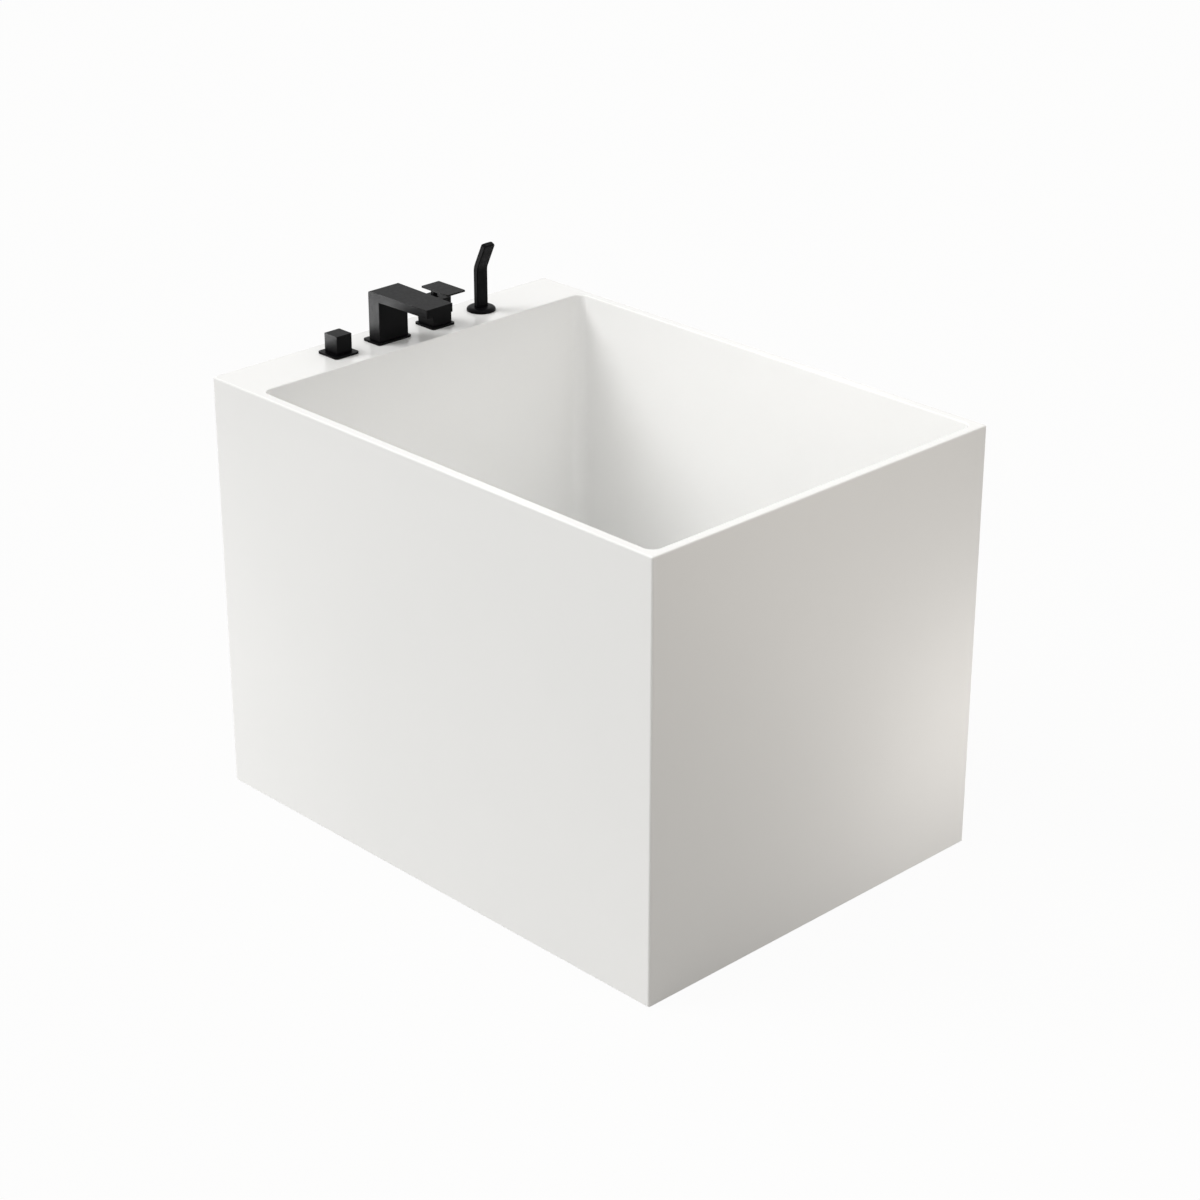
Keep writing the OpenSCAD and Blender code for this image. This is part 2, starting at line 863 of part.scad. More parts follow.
// Flat chamber behind the wall with a tube that reaches through it
module overflow_body() {
    wall = 2;
    back = shell_t + rear_seal_t;
    color("white")
        overflow_axis()
            difference() {
                union() {
                    translate([0, 0, back])
                        block(2 * body_half_h, 2 * body_half_w, body_depth);
                    translate([0, 0, -seal_t])
                        cylinder(r = overflow_tube_r, h = back + seal_t + 1, $fn = fine);
                }
                translate([0, 0, -seal_t - 1])
                    cylinder(r = overflow_bore_r, h = back + seal_t + 1 + wall, $fn = fine);
                translate([0, 0, back + wall])
                    block(2 * (body_half_h - wall), 2 * (body_half_w - wall), body_depth - 2 * wall);
                translate([body_half_h - wall - 1, -duct_w / 2 + duct_wall, back + wall])
                    cube([wall + 2, duct_w - 2 * duct_wall, body_depth - 2 * wall]);
            }
}

// Flat duct behind the end wall that widens into an elbow with a round socket
module overflow_duct() {
    top = -overflow_drop - body_half_h;
    color("white")
        difference() {
            union() {
                end_wall()
                    translate([duct_x, -duct_w / 2, -duct_len])
                        cube([duct_t, duct_w, duct_len + top]);
                translate([elbow_x, 0, elbow_z - elbow_half])
                    block(elbow_d, duct_w + 4, 2 * elbow_half);
            }
            end_wall()
                translate([duct_x + duct_wall, duct_wall - duct_w / 2, -duct_len])
                    cube([duct_t - 2 * duct_wall, duct_w - 2 * duct_wall, duct_len + top + 1]);
            translate([elbow_x, 0, elbow_z])
                rotate([0, -90, 0])
                    cylinder(r = overflow_pipe_r - 2.5, h = elbow_d, $fn = fine);
            translate([elbow_x - 2, 0, elbow_z])
                rotate([0, -90, 0])
                    cylinder(r = overflow_pipe_r + slip, h = elbow_d, $fn = fine);
        }
}

module overflow_pipe() {
    x0 = drain_x + tee_r + 8;
    x1 = elbow_x - 2 - slip;
    color("white")
        translate([x0, 0, pipe_z])
            rotate([0, 90, 0])
                tube(overflow_pipe_r, overflow_pipe_r - 2, x1 - x0);
}

module tap_washers() {
    color("dimgray")
        for (i = [0:3])
            translate([tap_x, tap_y(i), deck_board_z - washer_t])
                tube(back_nut_af / 2 + 2, shank_r + nut_clear, washer_t);
}

module tap_back_nuts() {
    color("goldenrod")
        for (i = [0:3])
            translate([tap_x, tap_y(i), deck_board_z - washer_t - back_nut_h])
                hex_nut(back_nut_af, shank_r + nut_clear, back_nut_h);
}

// Cover plate with rounded corners, lying on the deck
module cover_plate(d, w, y, bore_r = shank_r) {
    color("#1c1c1c")
        translate([tap_x, y, deck_z])
            linear_extrude(plate_t)
                difference() {
                    rounded(d, w, plate_corner_r);
                    circle(r = bore_r + slip, $fn = fine);
                }
}

module diverter_plate_cover() {
    cover_plate(diverter_plate, diverter_plate, diverter_y);
}

module diverter_knob() {
    color("#1c1c1c")
        translate([tap_x, diverter_y, plate_top + slip])
            difference() {
                linear_extrude(knob)
                    rounded(knob, knob, 2);
                translate([0, 0, -1])
                    cylinder(r = spindle_r + nut_clear, h = knob_bore + 1, $fn = fine);
            }
}

// Spindle with the ceramic disc at its lower end
module diverter_spindle() {
    top = plate_top + slip + knob_bore;
    color("gold")
        translate([tap_x, diverter_y, disc_z]) {
            cylinder(r = spindle_r, h = top - disc_z, $fn = fine);
            cylinder(r = disc_r, h = disc_h, $fn = fine);
        }
}

module male_tail(r, len) {
    tube(r, r - 3, len);
}

// Valve block with its shank; the lower nipple feeds the hand shower
module diverter_valve() {
    color("goldenrod")
        translate([tap_x, diverter_y, 0])
            difference() {
                union() {
                    translate([0, 0, block_z])
                        block(block_d, diverter_block_w, block_h);
                    translate([0, 0, shank_z])
                        cylinder(r = shank_r, h = plate_top - shank_z, $fn = fine);
                    translate([0, 0, block_z - tail_len])
                        cylinder(r = tail_r, h = tail_len, $fn = fine);
                }
                translate([0, 0, disc_z])
                    cylinder(r = spindle_r + running, h = plate_top - disc_z + 1, $fn = fine);
                translate([0, 0, disc_z - slip])
                    cylinder(r = disc_r + slip, h = disc_h + 2 * slip, $fn = fine);
                translate([0, 0, block_z - tail_len - 1])
                    cylinder(r = tail_r - 3, h = disc_z - block_z + tail_len + 1, $fn = fine);
                for (z = [low_link_z, high_link_z])
                    translate([0, 0, z])
                        rotate([-90, 0, 0])
                            cylinder(r = link_r - 1.5, h = diverter_block_w, $fn = fine);
            }
}

module spout_plate_cover() {
    cover_plate(spout_plate_d, spout_plate_w, spout_y, spout_neck_r);
}

// The spout seen from above, from its back to the distance l; it narrows towards the tip
module spout_plan(l) {
    back_w = spout_w / 2;
    front_w = back_w + (spout_tip_w - spout_w) / 2 * l / spout_len;
    polygon([[0, -back_w], [l, -front_w], [l, front_w], [0, back_w]]);
}

module spout_body() {
    channel_h = 7;
    roof = 3;
    outlet_floor = spout_arm - channel_h - roof;
    front = 3;
    outlet_d = 9;
    color("#1c1c1c")
        translate([tap_x - spout_back, spout_y, deck_z])
            difference() {
                union() {
                    translate([0, 0, plate_t])
                        linear_extrude(spout_h - plate_t)
                            spout_plan(spout_column);
                    translate([0, 0, spout_h - spout_arm])
                        linear_extrude(spout_arm)
                            spout_plan(spout_len);
                }
                translate([spout_back, 0, plate_t - 1])
                    cylinder(r = spout_neck_r + nut_clear, h = spout_neck_h + 1, $fn = fine);
                translate([spout_back, 0, plate_t])
                    cylinder(r = spout_bore_r, h = spout_h - plate_t - roof - channel_h + 1, $fn = fine);
                translate([8, -outlet_w / 2, spout_h - roof - channel_h])
                    cube([spout_len - 8 - front, outlet_w, channel_h]);
                translate([spout_len - front - outlet_d, -outlet_w / 2, spout_h - spout_arm - 1])
                    cube([outlet_d, outlet_w, outlet_floor + 2]);
            }
}

// Slotted insert in the outlet under the spout's tip
module spout_outlet() {
    d = 9 - 2 * slip;
    w = outlet_w - 2 * slip;
    h = 5;
    color("dimgray")
        translate([tap_x - spout_back + spout_len - 3 - 4.5, spout_y, deck_z + spout_h - spout_arm])
            difference() {
                block(d, w, h);
                translate([0, 0, -1])
                    block(d - 5, w - 4, h + 2);
            }
}

module spout_shank() {
    color("goldenrod")
        translate([tap_x, spout_y, 0])
            difference() {
                union() {
                    translate([0, 0, shank_z])
                        cylinder(r = shank_r, h = shank_len, $fn = fine);
                    translate([0, 0, deck_z - 1])
                        cylinder(r = spout_neck_r, h = plate_t + spout_neck_h, $fn = fine);
                    translate([0, 0, shank_z - spout_elbow_h])
                        block(spout_elbow_w, spout_elbow_w, spout_elbow_h);
                }
                translate([0, 0, high_link_z])
                    cylinder(r = spout_bore_r, h = plate_top + spout_neck_h - high_link_z, $fn = fine);
                translate([0, 0, high_link_z])
                    rotate([90, 0, 0])
                        cylinder(r = link_r - 1.5, h = spout_elbow_w, $fn = fine);
            }
}

module mixer_plate_cover() {
    cover_plate(mixer_plate, mixer_plate, mixer_y);
}

module mixer_body() {
    color("#1c1c1c")
        translate([tap_x, mixer_y, 0])
            difference() {
                translate([0, 0, plate_top])
                    linear_extrude(mixer_h - plate_t)
                        rounded(mixer_side, mixer_side, 1.5);
                translate([0, 0, plate_top - 1])
                    cylinder(r = 10, h = 10, $fn = fine);
                translate([0, 0, plate_top + 4])
                    cylinder(r = cartridge_r + slip, h = mixer_h, $fn = fine);
            }
}

module mixer_top_plate() {
    color("#1c1c1c")
        translate([tap_x, mixer_y, deck_z + mixer_h])
            linear_extrude(mixer_cap_t)
                difference() {
                    rounded(mixer_side, mixer_side, 1.5);
                    circle(r = cartridge_r, $fn = fine);
                }
}

// Cartridge with the ring nut that holds it down
module mixer_cartridge() {
    bottom = plate_top + 4;
    color("silver")
        translate([tap_x, mixer_y, bottom]) {
            cylinder(r = cartridge_r, h = ring_nut_z - bottom, $fn = fine);
            translate([0, 0, ring_nut_z - bottom])
                tube(cartridge_r, carrier_boss_r, ring_nut_h);
        }
}

// Turning piece in the closing plate; its slot lets the lever's neck tilt
module lever_carrier() {
    slot_d = neck_d + 7;
    slot_w = neck_w + 2 * slip;
    floor_t = pivot_z - carrier_z - neck_d / 2 - loose;
    color("#1c1c1c")
        translate([tap_x, mixer_y, carrier_z])
            difference() {
                union() {
                    cylinder(r = carrier_r, h = cap_top - carrier_z, $fn = fine);
                    translate([0, 0, -4])
                        cylinder(r = carrier_boss_r - running, h = 5, $fn = fine);
                }
                translate([0, 0, floor_t])
                    block(slot_d, slot_w, cap_top);
                translate([0, 0, pivot_z - carrier_z])
                    rotate([90, 0, 0])
                        cylinder(r = pin_r + running, h = pin_len, center = true, $fn = fine);
            }
}

module lever_pin() {
    color("silver")
        translate([tap_x, mixer_y, pivot_z])
            rotate([90, 0, 0])
                cylinder(r = pin_r, h = pin_len - 2 * slip, center = true, $fn = fine);
}

// Flat lever plate on a short neck that turns on the pin
module mixer_lever() {
    plate_z = deck_z + lever_h - lever_t;
    color("#1c1c1c")
        translate([tap_x, mixer_y, 0])
            difference() {
                union() {
                    translate([0, 0, pivot_z])
                        block(neck_d, neck_w, plate_z - pivot_z);
                    translate([0, 0, pivot_z])
                        rotate([90, 0, 0])
                            cylinder(r = neck_d / 2, h = neck_w, center = true, $fn = fine);
                    translate([-lever_back, -lever_w / 2, plate_z])
                        cube([lever_back + lever_front, lever_w, lever_t]);
                }
                translate([0, 0, pivot_z])
                    rotate([90, 0, 0])
                        cylinder(r = pin_r + running, h = neck_w + 2, center = true, $fn = fine);
            }
}

// Brass block with the mixer's shank, two inlets and one side outlet
module mixer_valve_block() {
    color("goldenrod")
        translate([tap_x, mixer_y, 0])
            difference() {
                union() {
                    translate([0, 0, block_z])
                        block(block_d, mixer_block_w, block_h);
                    translate([0, 0, shank_z])
                        cylinder(r = shank_r, h = plate_top - shank_z, $fn = fine);
                }
                translate([0, 0, block_z + 10])
                    cylinder(r = 9, h = block_h + shank_len + plate_t, $fn = fine);
                for (s = [-1, 1])
                    translate([0, s * tail_pitch / 2, block_z - 1])
                        cylinder(r = tail_r - 2 + slip, h = 12, $fn = fine);
                translate([0, 0, low_link_z])
                    rotate([90, 0, 0])
                        cylinder(r = link_r - 1.5, h = mixer_block_w, $fn = fine);
            }
}

// Hot and cold half-inch connections for the supply hoses
module supply_tails() {
    color("gold")
        for (s = [-1, 1])
            translate([tap_x, mixer_y + s * tail_pitch / 2, block_z - tail_len])
                difference() {
                    union() {
                        cylinder(r = tail_r, h = tail_len, $fn = fine);
                        cylinder(r = tail_r - 2, h = tail_len + 9, $fn = fine);
                    }
                    translate([0, 0, -1])
                        cylinder(r = tail_r - 5, h = tail_len + 11, $fn = fine);
                }
}

module handset_ring() {
    lip = 2.5;
    crown_r = 19;
    color("#1c1c1c")
        translate([tap_x, handset_y, deck_z])
            difference() {
                rotate_extrude($fn = fine)
                    polygon(concat([[0, 0], [ring_r, 0]],
                        [for (i = [0:6])
                            let (a = 90 * i / 6)
                            [crown_r + (ring_r - crown_r) * cos(a), lip + (ring_h - lip) * sin(a)]],
                        [[0, ring_h]]));
                translate([0, 0, -1])
                    block(bar_d + 2 * slip, bar_w + 2 * slip, ring_h + 2);
            }
}

// Guide sleeve below the ring; a step in it is the hand shower's seat
module handset_sleeve() {
    color("goldenrod")
        translate([tap_x, handset_y, shank_z])
            difference() {
                cylinder(r = shank_r, h = shank_len, $fn = fine);
                translate([0, 0, seat_z - shank_z])
                    block(bar_d + 2 * slip, bar_w + 2 * slip, bar_seat + 1);
                translate([0, 0, -1])
                    cylinder(r = hose_tail_r + slip, h = shank_len, $fn = fine);
            }
}

// Side view of the bent bar, from its seat to the top of its head
function bar_profile(d) =
    let (bottom = seat_z + slip - deck_z,
        half = d / 2,
        shift = half * tan(head_tilt / 2),
        ex = head_len * sin(head_tilt),
        ez = head_len * cos(head_tilt),
        nx = half * cos(head_tilt),
        nz = half * sin(head_tilt))
    [[half, bottom], [half, bend_h - shift], [ex + nx, bend_h + ez - nz],
        [ex - nx, bend_h + ez + nz], [-half, bend_h + shift], [-half, bottom]];

module bent_bar(d, w) {
    rotate([90, 0, 0])
        linear_extrude(w, center = true)
            polygon(bar_profile(d));
}

// Local frame of the tilted head, with z up along it and its origin on the bend
module head_frame() {
    translate([tap_x, handset_y, deck_z + bend_h])
        rotate([0, head_tilt, 0])
            children();
}

module handset_body() {
    color("#1c1c1c")
        difference() {
            union() {
                translate([tap_x, handset_y, deck_z])
                    bent_bar(bar_d, bar_w);
                translate([tap_x, handset_y, seat_z + slip - hose_tail_len])
                    cylinder(r = hose_tail_r, h = hose_tail_len, $fn = fine);
            }
            translate([tap_x, handset_y, seat_z - hose_tail_len])
                cylinder(r = 3.5, h = hose_tail_len + bar_seat + bend_h, $fn = fine);
            translate([tap_x, handset_y, seat_z + slip - hose_tail_len - 1])
                cylinder(r = hose_socket_r, h = hose_socket_h + 1, $fn = fine);
            head_frame() {
                translate([1.5, 0, -1])
                    cylinder(r = 3, h = spray_z + 8, $fn = fine);
                translate([bar_d / 2 - spray_depth, spray_margin - bar_w / 2, spray_z])
                    cube([spray_depth + 5, bar_w - 2 * spray_margin, head_len - spray_margin - spray_z]);
            }
        }
}

module handset_spray_plate() {
    w = bar_w - 2 * spray_margin - 2 * slip;
    h = head_len - spray_margin - spray_z - 2 * slip;
    t = spray_depth - slip;
    color("dimgray")
        head_frame()
            translate([bar_d / 2 - spray_depth, 0, spray_z + slip])
                difference() {
                    translate([0, -w / 2, 0])
                        cube([t, w, h]);
                    for (i = [1:nozzle_rows], j = [1:nozzle_cols])
                        translate([-1, w * (j / (nozzle_cols + 1) - 0.5), h * i / (nozzle_rows + 1)])
                            rotate([0, 90, 0])
                                cylinder(r = nozzle_r, h = t + 2, $fn = 16);
                }
}

// Pipes from the mixer to the diverter and from the diverter to the spout
module link_pipes() {
    y0 = diverter_y + diverter_block_w / 2;
    color("goldenrod") {
        translate([tap_x, y0, low_link_z])
            rotate([-90, 0, 0])
                tube(link_r, link_r - 1.5, mixer_y - mixer_block_w / 2 - y0);
        translate([tap_x, y0, high_link_z])
            rotate([-90, 0, 0])
                tube(link_r, link_r - 1.5, spout_y - spout_elbow_w / 2 - y0);
    }
}

module link_nuts() {
    y0 = diverter_y + diverter_block_w / 2;
    ends = [[y0, low_link_z], [mixer_y - mixer_block_w / 2 - link_nut_h, low_link_z],
        [y0, high_link_z], [spout_y - spout_elbow_w / 2 - link_nut_h, high_link_z]];
    color("gold")
        for (e = ends)
            translate([tap_x, e[0], e[1]])
                rotate([-90, 0, 0])
                    hex_nut(2 * link_nut_r * cos(30), link_r + nut_clear, link_nut_h);
}

basin_shell();
apron_skirt();
floor_board();
deck_board();
frame_long_rails();
frame_cross_rails();
foot_brackets();
skirt_brackets();
bracket_screws();
foot_lock_nuts();
foot_stud(1);  // foot_stud_1
foot_stud(2);  // foot_stud_2
foot_stud(3);  // foot_stud_3
foot_stud(4);  // foot_stud_4
foot_pad(1);  // foot_pad_1
foot_pad(2);  // foot_pad_2
foot_pad(3);  // foot_pad_3
foot_pad(4);  // foot_pad_4
waste_flange();
waste_gaskets();
waste_back_nut();
click_cartridge();
drain_plug();
plug_seal();
waste_tee();
trap_union_nut();
trap_dip_tube();
trap_cup();
trap_outlet_nut();
outlet_pipe();
overflow_cover();
overflow_gaskets();
overflow_body();
overflow_duct();
overflow_pipe();
tap_washers();
tap_back_nuts();
diverter_plate_cover();
diverter_knob();
diverter_spindle();
diverter_valve();
spout_plate_cover();
spout_body();
spout_outlet();
spout_shank();
mixer_plate_cover();
mixer_body();
mixer_top_plate();
mixer_cartridge();
lever_carrier();
lever_pin();
mixer_lever();
mixer_valve_block();
supply_tails();
handset_ring();
handset_sleeve();
handset_body();
handset_spray_plate();
link_pipes();
link_nuts();
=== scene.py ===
import json
import math

import bmesh
import bpy
from mathutils import Matrix, Vector

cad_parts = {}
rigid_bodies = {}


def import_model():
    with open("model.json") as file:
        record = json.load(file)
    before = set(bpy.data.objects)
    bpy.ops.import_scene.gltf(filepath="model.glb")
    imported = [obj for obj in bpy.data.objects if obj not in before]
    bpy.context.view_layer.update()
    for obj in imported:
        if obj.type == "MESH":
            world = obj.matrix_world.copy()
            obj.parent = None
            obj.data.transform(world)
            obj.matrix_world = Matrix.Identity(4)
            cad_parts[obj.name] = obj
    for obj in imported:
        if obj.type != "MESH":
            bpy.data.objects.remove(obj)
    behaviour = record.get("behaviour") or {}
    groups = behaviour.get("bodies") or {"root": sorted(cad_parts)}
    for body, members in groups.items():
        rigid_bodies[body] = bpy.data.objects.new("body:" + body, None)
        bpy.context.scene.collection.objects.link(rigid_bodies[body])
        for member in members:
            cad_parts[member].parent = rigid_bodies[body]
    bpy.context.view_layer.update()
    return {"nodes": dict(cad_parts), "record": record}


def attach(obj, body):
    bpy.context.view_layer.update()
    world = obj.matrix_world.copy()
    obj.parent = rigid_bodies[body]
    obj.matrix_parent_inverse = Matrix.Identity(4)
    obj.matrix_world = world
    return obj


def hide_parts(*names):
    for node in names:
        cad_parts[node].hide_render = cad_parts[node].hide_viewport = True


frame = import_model()

# Sizes are in millimetres, as in the part's source, and MM turns them into metres.
MM = 0.001
BODY_L, BODY_W, BODY_H = 1100, 800, 805
EDGE_R, RIM_ROUND, SHELL_T = 4, 3, 5
MOUTH_X0, MOUTH_X1, MOUTH_Y = -430, 532, 382
MOUTH_ROUND, MOUTH_CORNER_R = 2.5, 18
FLOOR_CORNER_R, FLOOR_ROUND, FLOOR_Z = 34, 28, 150
WALL_DRAFT, BACK_LEAN = 14, 50
DRAIN_X, DRAIN_HOLE_R = 320, 24
OVERFLOW_DROP, OVERFLOW_HOLE_R = 115, 21
TAP_X, TAP_HOLE_R = -490, 17.5
DIVERTER_Y, SPOUT_Y, MIXER_Y, HANDSET_Y = -162, -47, 68, 183
SLIP = 0.3

# Drain and overflow cover
DRAIN_TUBE_R, DRAIN_BORE_R, DRAIN_LOW = 21, 18, 124
HUB_R, HUB_BORE_R, HUB_LOW, HUB_HIGH = 12, 8.1, 140, 144
COVER_R, COVER_GAP, COVER_T, POST_CIRCLE_R = 32, 7.5, 3, 26

# Taps
PLATE_SIDE, PLATE_R, PLATE_BORE_R, PLATE_TOP = 54, 5, 16.8, BODY_H + 4
SPOUT_PLATE_DEPTH, SPOUT_PLATE_WIDTH, SPOUT_PLATE_BORE_R = 47, 78, 7.3
KNOB_SIDE, SPINDLE_BORE_R = 34.5, 6.1
SPOUT_TOP, SPOUT_ARM, SPOUT_LEN, SPOUT_COLUMN, SPOUT_BACK_R = BODY_H + 97, 16, 157, 28, 4
SPOUT_BACK_HALF, SPOUT_TIP_HALF, SPOUT_NECK_R = 34.5, 30.5, 7.1
MIXER_HALF, MIXER_TOP, MIXER_PIVOT = 22.25, BODY_H + 50, BODY_H + 50.5
MIXER_BORE_R, CLOSING_BORE_R, CLOSING_T = 17.5, 17.2, 4
LEVER_LOW, LEVER_HIGH = BODY_H + 73, BODY_H + 76
BAR_D, BAR_W, BEND_H, HEAD_LEN, HEAD_TILT = 11, 26.5, 84, 56, 25
BAR_SEAT = BODY_H - 30 + SLIP
BEND_R, BEND_STEPS, HEAD_END_R = 30, 8, 4.5
RING_R, RING_H, RING_CROWN_R, RING_LIP = 27.5, 8, 19, 2.5

# Segments of the rounds, and the angles in degrees from which an edge is drawn sharp.
CORNER_STEPS, FILLET_STEPS, ROUND_STEPS = 20, 16, 8
SHARP_DRESSED, SHARP_CAD = 32, 30
# In metres: how near points become one after a cut, and a wave texture's length at scale 1.
MERGE_REACH, WAVE_LENGTH = 2e-6, math.pi / 10

# Camera and studio, in metres and degrees; lens and sensor in millimetres.
CAMERA_PLACE, CAMERA_AZIMUTH, CAMERA_ELEVATION = (3.405, -3.268, 2.591), 46.0, 24.65
CAMERA_LENS, SENSOR_WIDTH = 87.36, 36
FLOOR_REACH, FLOOR_GLOW, FLOOR_WHITE_SHARE = 30.0, 1.06, 0.9
HORIZON, ZENITH = (0.05, 0.048, 0.045), (0.6, 0.59, 0.57)
WHITE, PALE_WARM, WARM = (1.0, 1.0, 1.0), (1.0, 0.96, 0.92), (1.0, 0.925, 0.85)

THREADED = ("foot_stud_1", "foot_stud_2", "foot_stud_3", "foot_stud_4", "spout_shank", "handset_sleeve")
TAP_PIECES = ("diverter_cover_plate", "diverter_cube_knob", "spout_cover_plate", "cascade_spout",
              "mixer_cover_plate", "mixer_square_body", "mixer_closing_plate", "mixer_lever_blade",
              "hand_shower_base_ring", "hand_shower_bar", "hand_shower_spray_face")

ZINC = (0.66, 0.67, 0.69), (0.5, 0.52, 0.53)
BRASS = (0.78, 0.6, 0.31), (0.66, 0.49, 0.24)

# Each slot's material: name, light and dark colour, scale of their mottling, roughness range,
# grain as (scale, strength, distance), and values for the shader.
SURFACES = {
    "acrylic": ("white_acrylic", (0.945, 0.945, 0.938), (0.93, 0.932, 0.924), 2.5, (0.2, 0.26),
                [(6, 0.05, 0.002), (1400, 0.03, 0.0001)], {"Coat Weight": 0.12, "Coat Roughness": 0.08}),
    "black_metal": ("matt_black_coat", (0.0032, 0.0032, 0.0036), (0.0022, 0.0022, 0.0026), 60,
                    (0.36, 0.42), [(2600, 0.12, 0.0001), (500, 0.03, 0.0002)],
                    {"Specular IOR Level": 0.06}),
    "spray_face": ("spray_face_rubber", (0.01, 0.01, 0.011), (0.007, 0.007, 0.008), 80, (0.5, 0.62),
                   [(1800, 0.15, 0.0001)], {"Specular IOR Level": 0.1}),
    "rubber": ("black_rubber", (0.045, 0.045, 0.045), (0.028, 0.028, 0.028), 40, (0.7, 0.85),
               [(900, 0.25, 0.0002)], {}),
    "waste_plastic": ("satin_pipe_plastic", (0.82, 0.82, 0.8), (0.77, 0.775, 0.755), 14, (0.38, 0.5),
                      [(700, 0.06, 0.0002)], {}),
    "valve_plastic": ("grey_valve_plastic", (0.17, 0.17, 0.18), (0.13, 0.13, 0.14), 50, (0.4, 0.55),
                      [(1200, 0.08, 0.0001)], {}),
    "frame_steel": ("grey_powder_coat", (0.2, 0.205, 0.21), (0.15, 0.155, 0.16), 9, (0.5, 0.65),
                    [(900, 0.25, 0.0003)], {}),
    "zinc_steel": ("zinc_plate", *ZINC, 55, (0.28, 0.45), [(1500, 0.08, 0.0001)], {"Metallic": 1.0}),
    "brass": ("machined_brass", *BRASS, 45, (0.24, 0.4), [(1600, 0.06, 0.0001)], {"Metallic": 1.0}),
}
# Threads: the slot that they belong to, name, colours and pitch in metres.
THREADS = (("zinc_steel", "zinc_thread", ZINC, 0.00175), ("brass", "brass_thread", BRASS, 0.0015))


# Camera at the photograph's view

def add_camera():
    azimuth, elevation = math.radians(CAMERA_AZIMUTH), math.radians(CAMERA_ELEVATION)
    data = bpy.data.cameras.new("photo_camera")
    data.sensor_width = SENSOR_WIDTH
    data.lens = CAMERA_LENS
    camera = bpy.data.objects.new("photo_camera", data)
    camera.location = CAMERA_PLACE
    back = Vector((math.sin(azimuth) * math.cos(elevation),
                   -math.cos(azimuth) * math.cos(elevation), math.sin(elevation)))
    camera.rotation_euler = back.to_track_quat("Z", "Y").to_euler()
    bpy.context.scene.collection.objects.link(camera)
    bpy.context.scene.camera = camera


# Material building blocks

class Shader:
    """A node material with one Principled shader and short calls for its textures."""

    def __init__(self, name):
        self.material = bpy.data.materials.new(name)
        self.material.use_nodes = True
        self.tree = self.material.node_tree
        self.bsdf = self.tree.nodes["Principled BSDF"]
        self.coords = self.node("ShaderNodeTexCoord").outputs["Object"]

    def node(self, kind, **settings):
        made = self.tree.nodes.new(kind)
        for key, value in settings.items():
            setattr(made, key, value)
        return made

    def link(self, source, target):
        self.tree.links.new(source, target)

    def stretched(self, factors):
        mapping = self.node("ShaderNodeMapping")
        mapping.inputs["Scale"].default_value = factors
        self.link(self.coords, mapping.inputs["Vector"])
        return mapping.outputs["Vector"]

    def noise(self, scale, detail=2.0, roughness=0.5, stretch=None):
        made = self.node("ShaderNodeTexNoise")
        made.inputs["Scale"].default_value = scale
        made.inputs["Detail"].default_value = detail
        made.inputs["Roughness"].default_value = roughness
        self.link(self.stretched(stretch) if stretch else self.coords, made.inputs["Vector"])
        return made.outputs["Fac"]

    def turns(self, pitch):
        """Bands along z, one for each turn of a thread with this pitch in metres."""
        made = self.node("ShaderNodeTexWave", bands_direction="Z", wave_profile="TRI")
        made.inputs["Scale"].default_value = WAVE_LENGTH / pitch
        self.link(self.coords, made.inputs["Vector"])
        return made.outputs["Fac"]

    def ramp(self, factor, stops):
        made = self.node("ShaderNodeValToRGB")
        elements = made.color_ramp.elements
        while len(elements) < len(stops):
            elements.new(0.5)
        for element, (place, colour) in zip(elements, stops):
            element.position = place
            element.color = (*colour, 1)
        self.link(factor, made.inputs["Fac"])
        return made.outputs["Color"]

    def spread(self, factor, low, high):
        made = self.node("ShaderNodeMapRange")
        made.inputs["From Min"].default_value = 0.3
        made.inputs["From Max"].default_value = 0.7
        made.inputs["To Min"].default_value = low
        made.inputs["To Max"].default_value = high
        self.link(factor, made.inputs["Value"])
        return made.outputs["Result"]

    def colour(self, output):
        self.link(output, self.bsdf.inputs["Base Color"])

    def roughness(self, output):
        self.link(output, self.bsdf.inputs["Roughness"])

    def bump(self, heights):
        """Chains bumps, each given as (height output, strength, distance in metres)."""
        normal = None
        for height, strength, distance in heights:
            made = self.node("ShaderNodeBump")
            made.inputs["Strength"].default_value = strength
            made.inputs["Distance"].default_value = distance
            self.link(height, made.inputs["Height"])
            if normal:
                self.link(normal, made.inputs["Normal"])
            normal = made.outputs["Normal"]
        self.link(normal, self.bsdf.inputs["Normal"])

    def set(self, values):
        for socket, value in values.items():
            self.bsdf.inputs[socket].default_value = value


def two_tone(name, light, dark, scale, rough, grain, values):
    """A mottled surface: see SURFACES for what it takes."""
    shader = Shader(name)
    shader.colour(shader.ramp(shader.noise(scale, 3), [(0.3, dark), (0.7, light)]))
    shader.roughness(shader.spread(shader.noise(scale * 3, 2), *rough))
    if grain:
        shader.bump([(shader.noise(size, 2), strength, distance) for size, strength, distance in grain])
    shader.set(values)
    return shader


def make_materials():
    """Every slot's material by the slot's name, and its threaded kind by (name, "threaded")."""
    made = {slot_name: two_tone(*surface).material for slot_name, surface in SURFACES.items()}
    for slot_name, name, (light, dark), pitch in THREADS:
        thread = two_tone(name, light, dark, 50, (0.28, 0.42), [], {"Metallic": 1.0})
        thread.bump([(thread.turns(pitch), 0.8, 0.0006)])
        made[slot_name, "threaded"] = thread.material

    board = Shader("raw_board")
    grain = board.noise(30, 6, 0.65, stretch=(0.5, 6.0, 6.0))
    board.colour(board.ramp(grain, [(0.3, (0.36, 0.24, 0.13)), (0.5, (0.52, 0.38, 0.23)),
                                    (0.7, (0.62, 0.48, 0.31))]))
    board.roughness(board.spread(board.noise(60, 3), 0.65, 0.85))
    board.bump([(grain, 0.3, 0.0006)])
    made["board"] = board.material
    return made


# Stage and light

